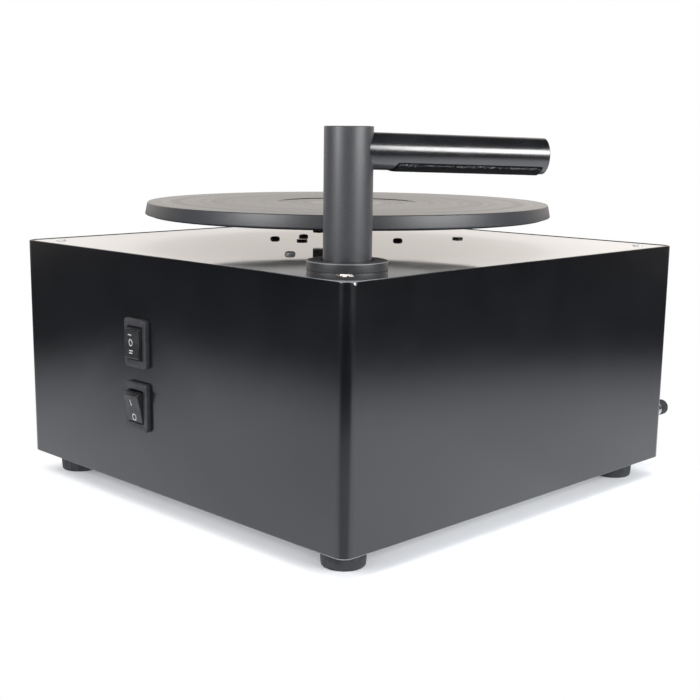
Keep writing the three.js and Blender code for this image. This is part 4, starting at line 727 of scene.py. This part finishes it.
winding = coil(SPRING_LOW, SPRING_HIGH, radius=13.1, wire=1.45, open_turns=5)
spring = piece("lift_coil", winding, shaft_steel, "chassis", ["lift_spring"], FOOT_OF_ARM)
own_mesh(spring)


# Velvet strips beside the slot, with a nap that stands up unevenly
def on_tube(x, side, radius, angle):
    return (x, side * radius * math.cos(angle), -radius * math.sin(angle))


def strip_angle(share):
    """How far below the level a share of the strip's way round the tube is, from the slot outwards."""
    return math.radians(80 - 43 * share)


def strip(side):
    along, around = 240, 14
    near_end, slant, far_gap = 25, 3.2, 3.5
    back, base, pile, ragged = 10.95, 11.25, 0.75, 0.05
    sections = []
    for i in range(along + 1):
        t = i / along
        outer, inner = [], []
        for k in range(around + 1):
            share = k / around
            start = near_end + slant * share
            x = start + (ARM_REACH - far_gap - start) * t
            full = min(1, 60 * min(t, 1 - t)) * min(1, 6 * min(share, 1 - share) + 0.35)
            nap = base + pile * full + random.uniform(-ragged, ragged)
            outer.append(on_tube(x + random.uniform(-ragged, ragged), side, nap, strip_angle(share)))
            inner.append(on_tube(x, side, back, strip_angle(share)))
        sections.append(outer + inner[::-1])
    return loft(sections)


def fibres(side, count):
    """Loose threads caught on the strip's upper edge and face."""
    nap, thick, three_sides = 11.9, 0.05, (0, 2.1, 4.2)
    parts = []
    for _ in range(count):
        share = 1 - abs(random.gauss(0, 0.09))
        angle = strip_angle(share) + random.uniform(-0.02, 0.02)
        start = Vector(on_tube(random.uniform(29, ARM_REACH - 5), side, nap, angle))
        aim = Vector((random.uniform(-1, 1), side * random.uniform(0, 0.25), random.uniform(-0.5, 0.25)))
        length = random.uniform(0.3, 1.1)
        rings = []
        for s in range(4):
            bend = Vector((0, side * 0.05, 0.12)) * (0.15 * s * s)
            middle = start + aim.normalized() * (length * s / 3) + bend
            ring = [middle + Vector((0, thick * math.cos(a), thick * math.sin(a))) for a in three_sides]
            rings.append([tuple(p) for p in ring])
        parts.append(loft(rings))
    return together(*parts)


for label, side in (("left", -1), ("right", 1)):
    piece(f"velvet_strip_{label}", strip(side), velvet, "arm", [f"velvet_pad_{label}"], ALONG, sharp=75)
    piece(f"velvet_lint_{label}", fibres(side, 260), lint, "arm", matrix=ALONG)


# Switches, each with a frame, a dished rocker and its printed marks
def switch_frame():
    width, height, corner, edge, front = 12.5, 17.25, 3, 0.9, SWITCH_FRONT
    sections = [(8.6, 11.85, 0.5, front + 11), (8.6, 11.85, 0.5, front + 0.5),
                (8.75, 12.0, 0.65, front + 0.15), (9.1, 12.35, 1, front)]
    for degrees in (0, 22, 45, 68, 90):
        inset = edge * (1 - math.sin(math.radians(degrees)))
        back = edge * (1 - math.cos(math.radians(degrees)))
        sections.append((width - inset, height - inset, corner - inset, front + back))
    sections += [(width, height, corner, -HALF_DEPTH), (10.8, 15.55, 0.8, -HALF_DEPTH),
                 (10.8, 15.55, 0.8, 24 - HALF_DEPTH)]
    return sleeve(sections)


def rocker_out(z):
    """How far the dished face of a rocker stands out from its pivot at a height from its middle."""
    return 3.3 + 0.7 * abs(z) / 10


def rocker():
    outline = eased(
        [(4, -10, 0.9), (3.3, 0, 14), (4, 10, 0.9), (2.156, 11.194, 2), (0, 11.4, 1.2), (-6, 8.5, 1),
         (-6, -8.5, 1), (0, -11.4, 1.2), (2.156, -11.194, 2)], closed=True, steps=6)
    rounded = [(8.3, 0.945), (8.2, 0.97), (7.95, 0.99), (7.5, 1)]
    sections = []
    for x, share in [(-x, share) for x, share in rounded] + rounded[::-1]:
        sections.append([(x, -((out + 1) * share - 1), up * share) for out, up in outline])
    return loft(sections)


def mark(outer, inner=None):
    """A thin printed mark on a rocker's face, from its outline in x and z."""
    def ring(points, lift):
        return [(x, -rocker_out(z) - lift, z) for x, z in points]
    sunk, proud = -0.1, 0.05
    if inner is None:
        return loft([ring(outer, sunk), ring(outer, proud)])
    return loft([ring(outer, sunk), ring(outer, proud), ring(inner, proud), ring(inner, sunk)], closed=True)


def bar(x, z, width, height):
    w, h = width / 2, height / 2
    return mark([(x - w, z - h), (x + w, z - h), (x + w, z + h), (x - w, z + h)])


def nought(x, z, width, height, line=0.45):
    def oval(w, h):
        return [(x + w * math.cos(k * math.pi / 18), z + h * math.sin(k * math.pi / 18)) for k in range(36)]
    return mark(oval(width / 2, height / 2), oval(width / 2 - line, height / 2 - line))


MOTOR_MARKS = [bar(-1.9, 6.1, 3.9, 0.5), nought(-1.3, 0.6, 4.1, 4.9), bar(-0.7, -4.95, 3.9, 0.5),
               bar(-0.7, -6.6, 3.9, 0.5)]
VACUUM_MARKS = [bar(-1.6, 3.8, 0.5, 4.6), nought(-0.3, -6.8, 4.4, 4.9)]
for label, z, tilt, marks in [
    ("motor", MOTOR_SWITCH_Z, 0, MOTOR_MARKS),
    ("vacuum", VACUUM_SWITCH_Z, 12, VACUUM_MARKS),
]:
    body = f"{label}_rocker"
    upright = shift(SWITCH_X, 0, z)
    tilted = shift(SWITCH_X, PIVOT_Y, z) @ turn(tilt, "X")
    piece(f"{label}_switch", switch_frame(), bezel_black, "chassis", [f"{label}_switch_body"], upright)
    piece(f"{label}_button", rocker(), plastic_black, body, [f"{label}_rocker"], tilted)
    piece(f"{label}_marks", together(*marks), mark_white, body, matrix=tilted)

# Mains inlet, its contacts and the fuse drawer
INLET = shift(INLET_X, 0, INLET_Z)
INLET_SECTIONS = [
    (13.5, 22, 0.8, HALF_DEPTH - 27), (13.5, 22, 0.8, HALF_DEPTH), (15.5, 24, 3, HALF_DEPTH),
    (15.5, 24, 3, INLET_FACE - 0.8), (15.3, 23.8, 2.8, INLET_FACE - 0.25), (14.8, 23.3, 2.3, INLET_FACE)]
inlet = raw("inlet", sleeve(INLET_SECTIONS), INLET)
SOCKET = [(12.25, 8.5, 3, SOCKET_FLOOR), (12.25, 8.5, 3, INLET_FACE + 1)]
SOCKET_PLACE = shift(INLET_X, 0, INLET_Z + 9)
socket = raw("cut_socket", sleeve(SOCKET), SOCKET_PLACE)
room = raw("cut_drawer", box(-11.3, 11.3, INLET_FACE - 22.3, INLET_FACE + 1, -17.3, -7.7), INLET)
piece("inlet_frame", carve(inlet, socket, room), plastic_black, "chassis", ["power_inlet"])
CONTACTS = [box(-9.25, 9.25, SOCKET_FLOOR, SOCKET_FLOOR + 2, -5.5, 5.5)]
for x, z in ((-7, 0), (0, 2), (7, 0)):
    CONTACTS.append(window(x, z, 1, 2, SOCKET_FLOOR, SOCKET_FLOOR + 14))
piece("contact_pins", together(*CONTACTS), nickel, "chassis", ["inlet_contacts"], SOCKET_PLACE, edge=0.3)
DRAWER = together(
    box(-11, 11, INLET_FACE - 22, INLET_FACE, -4.5, 4.5),
    box(-5.5, 5.5, INLET_FACE - 0.5, INLET_FACE + 1, -4.4, 4.4))
drawer_place = shift(INLET_X, 0, INLET_Z - 12.5)
piece("fuse_holder", DRAWER, plastic_black, "fuse_drawer", ["fuse_drawer"], drawer_place, edge=0.35)

# Drain spout and its cap, as profiles of radius and distance behind the case's middle
SPOUT = eased(
    [(2.5, HALF_DEPTH - 16), (4.2, HALF_DEPTH - 16), (4.2, HALF_DEPTH), (8, HALF_DEPTH, 0.3),
     (8, HALF_DEPTH + 4, 0.6), (4.2, HALF_DEPTH + 4, 0.3), (4.2, HALF_DEPTH + 17, 0.3),
     (6, HALF_DEPTH + 17, 0.4), (6, HALF_DEPTH + 25, 0.4), (4.2, HALF_DEPTH + 25),
     (4.2, HALF_DEPTH + 32, 0.3), (2.5, HALF_DEPTH + 32, 0.3)], closed=True)
piece("spout", lathe(SPOUT, 64, closed=True), nickel, "chassis", ["drain_spout"], DRAIN)
SPOUT_CAP = eased(
    [(4.5, HALF_DEPTH + 25.3), (6.1, HALF_DEPTH + 25.3, 0.4), (6.1, HALF_DEPTH + 34.3, 0.7),
     (0, HALF_DEPTH + 34.3), (0, HALF_DEPTH + 32.3), (4.5, HALF_DEPTH + 32.3)], closed=True)
piece("spout_cap", lathe(SPOUT_CAP, 64, closed=True), rubber_black, "drain_cap", ["drain_cap"], DRAIN)


# Floor: white to the camera beyond the contact shadow, and a pool of light for what mirrors it
def mirrored_pool(made):
    """How bright the floor is to glossy faces: bright near the machine, and less so far out."""
    pool_centre, corner, diagonal = (0.188, -0.184, 0), (0.153, -0.1905, 0), 0.7071
    side = made.vector("DOT_PRODUCT", made.vector("NORMALIZE", made.place), (diagonal, diagonal, 0))
    distance = made.vector("LENGTH", made.vector("SUBTRACT", made.place, pool_centre))
    pool = made.times(made.fade(distance, 1.11, 0.063, 0.352, 0.988), made.fade(side, 0.9, 1.13, -0.7, 0.7))
    pool = made.times(pool, made.fade(side, 1, 0.86, 0.85, 1))
    # The rounded corner mirrors a darker stretch of floor straight ahead of it
    ahead = made.vector("SUBTRACT", made.place, corner)
    facing = made.vector("DOT_PRODUCT", made.vector("NORMALIZE", ahead), (diagonal, -diagonal, 0))
    lobe = made.fade(facing, 0, 1, 0.45, 0.85)
    dark = made.times(lobe, made.fade(made.vector("LENGTH", ahead), 0.45, 1, 0.15, 0.65))
    return made.times(pool, made.math("SUBTRACT", 1, dark))


def floor_material():
    made = Finish("studio_floor", 0.9)
    grain = made.mix(made.spread(made.noise(6), 0, 1), (0.83, 0.83, 0.83), (0.86, 0.86, 0.86))
    diffuse = made.node("ShaderNodeBsdfDiffuse", {"Color": grain})
    lift = made.shine("ShaderNodeEmission", made.times(made.ray("Camera"), 0.01))
    shadowed = made.node("ShaderNodeAddShader", {0: diffuse, 1: lift})
    from_middle = made.vector("ABSOLUTE", made.place)
    beyond = made.vector("SUBTRACT", from_middle, (HALF_WIDTH * MM, HALF_DEPTH * MM, 1))
    outside = made.vector("LENGTH", made.vector("MAXIMUM", beyond, (0, 0, 0)))
    far = made.times(made.fade(outside, 0, 1, -0.003, 0.026), made.ray("Camera"))
    pool = made.shine("ShaderNodeEmission", mirrored_pool(made), (0.96, 0.98, 1.04))
    white = made.shine("ShaderNodeEmission", 1.0)
    seen = made.choose(made.ray("Glossy"), made.choose(far, shadowed, white), pool)
    made.join(seen, made.out.inputs["Surface"])
    made.tree.nodes.remove(made.bsdf)
    return made.material


FLOOR_REACH = 6
ground = bpy.data.meshes.new("ground")
corners = [(x * FLOOR_REACH, y * FLOOR_REACH, 0) for x, y in ((-1, -1), (1, -1), (1, 1), (-1, 1))]
ground.from_pydata(corners, [], [(0, 1, 2, 3)])
ground.materials.append(floor_material())
floor = bpy.data.objects.new("floor", ground)
scene.collection.objects.link(floor)


# Light: a white room for the camera, and for glossy faces a bright backdrop behind the machine
def light_world():
    world = bpy.data.worlds.new("studio")
    room = Graph(world)
    aim = room.node("ShaderNodeTexCoord", result="Generated")
    height = room.node("ShaderNodeSeparateXYZ", {0: aim}, "Z")
    away_from_camera, to_its_right = (-0.722, 0.692, 0), (0.692, 0.722, 0)
    behind = room.vector("DOT_PRODUCT", aim, away_from_camera)
    across = room.vector("DOT_PRODUCT", aim, to_its_right)
    backdrop = room.times(room.fade(behind, 0, 1, 0.2, 0.75), room.fade(height, 1, 0, 0.35, 0.7))
    wide = room.math("MULTIPLY_ADD", room.math("POWER", across, 2), 5, 0.93)
    backdrop = room.math("ADD", room.times(backdrop, room.math("MINIMUM", wide, 1.2)), 0.015)
    mirrored = room.shine("ShaderNodeBackground", backdrop, (1, 0.938, 0.882))
    lighting = room.shine("ShaderNodeBackground", 0.95, (0.95, 1, 1.07))
    white = room.shine("ShaderNodeBackground", 1.0)
    seen = room.choose(room.ray("Camera"), room.choose(room.ray("Glossy"), lighting, mirrored), white)
    out = room.tree.nodes.new("ShaderNodeOutputWorld")
    room.join(seen, out.inputs["Surface"])
    scene.world = world


def lamp(name, place, target, width, height, power, mirrored=True):
    data = bpy.data.lights.new(name, "AREA")
    data.shape = "RECTANGLE"
    data.size, data.size_y = width, height
    data.energy = power
    made = bpy.data.objects.new(name, data)
    made.location = place
    made.rotation_euler = (Vector(target) - Vector(place)).to_track_quat("-Z", "Y").to_euler()
    made.visible_glossy = mirrored
    scene.collection.objects.link(made)


def around(azimuth, distance, height):
    """A place in metres round the machine, with the azimuth in degrees from x."""
    angle = math.radians(azimuth)
    return (distance * math.cos(angle), distance * math.sin(angle), height)


light_world()
lamp("overhead", (0.1, -0.1, 1.9), (0, 0, 0.1), width=1.5, height=1.1, power=20, mirrored=False)
lamp("front_softbox", around(-93, 2.0, 1.0), (0, 0, 0.2), width=0.9, height=0.8, power=30)
lamp("right_softbox", around(5, 2.0, 0.95), (0, 0, 0.2), width=1.4, height=0.75, power=38)

# Camera, where the photo was taken from, as worked out from the case's edges in it
CAMERA_PLACE = (0.627081, -0.669983, 0.265966)
CAMERA_TURN, CAMERA_TILT, CAMERA_ROLL = 46.277966, 78.722561, 0.446888
view = bpy.data.cameras.new("camera")
view.sensor_width = 36
view.lens = 61.652
view.shift_x, view.shift_y = 0.05222, 0.02754
view.clip_start, view.clip_end = 0.01, 50
camera = bpy.data.objects.new("camera", view)
facing = turn(CAMERA_TURN, "Z") @ turn(CAMERA_TILT, "X") @ turn(CAMERA_ROLL, "Z")
camera.matrix_world = Matrix.Translation(CAMERA_PLACE) @ facing
scene.collection.objects.link(camera)
scene.camera = camera
scene.view_settings.view_transform = "Standard"
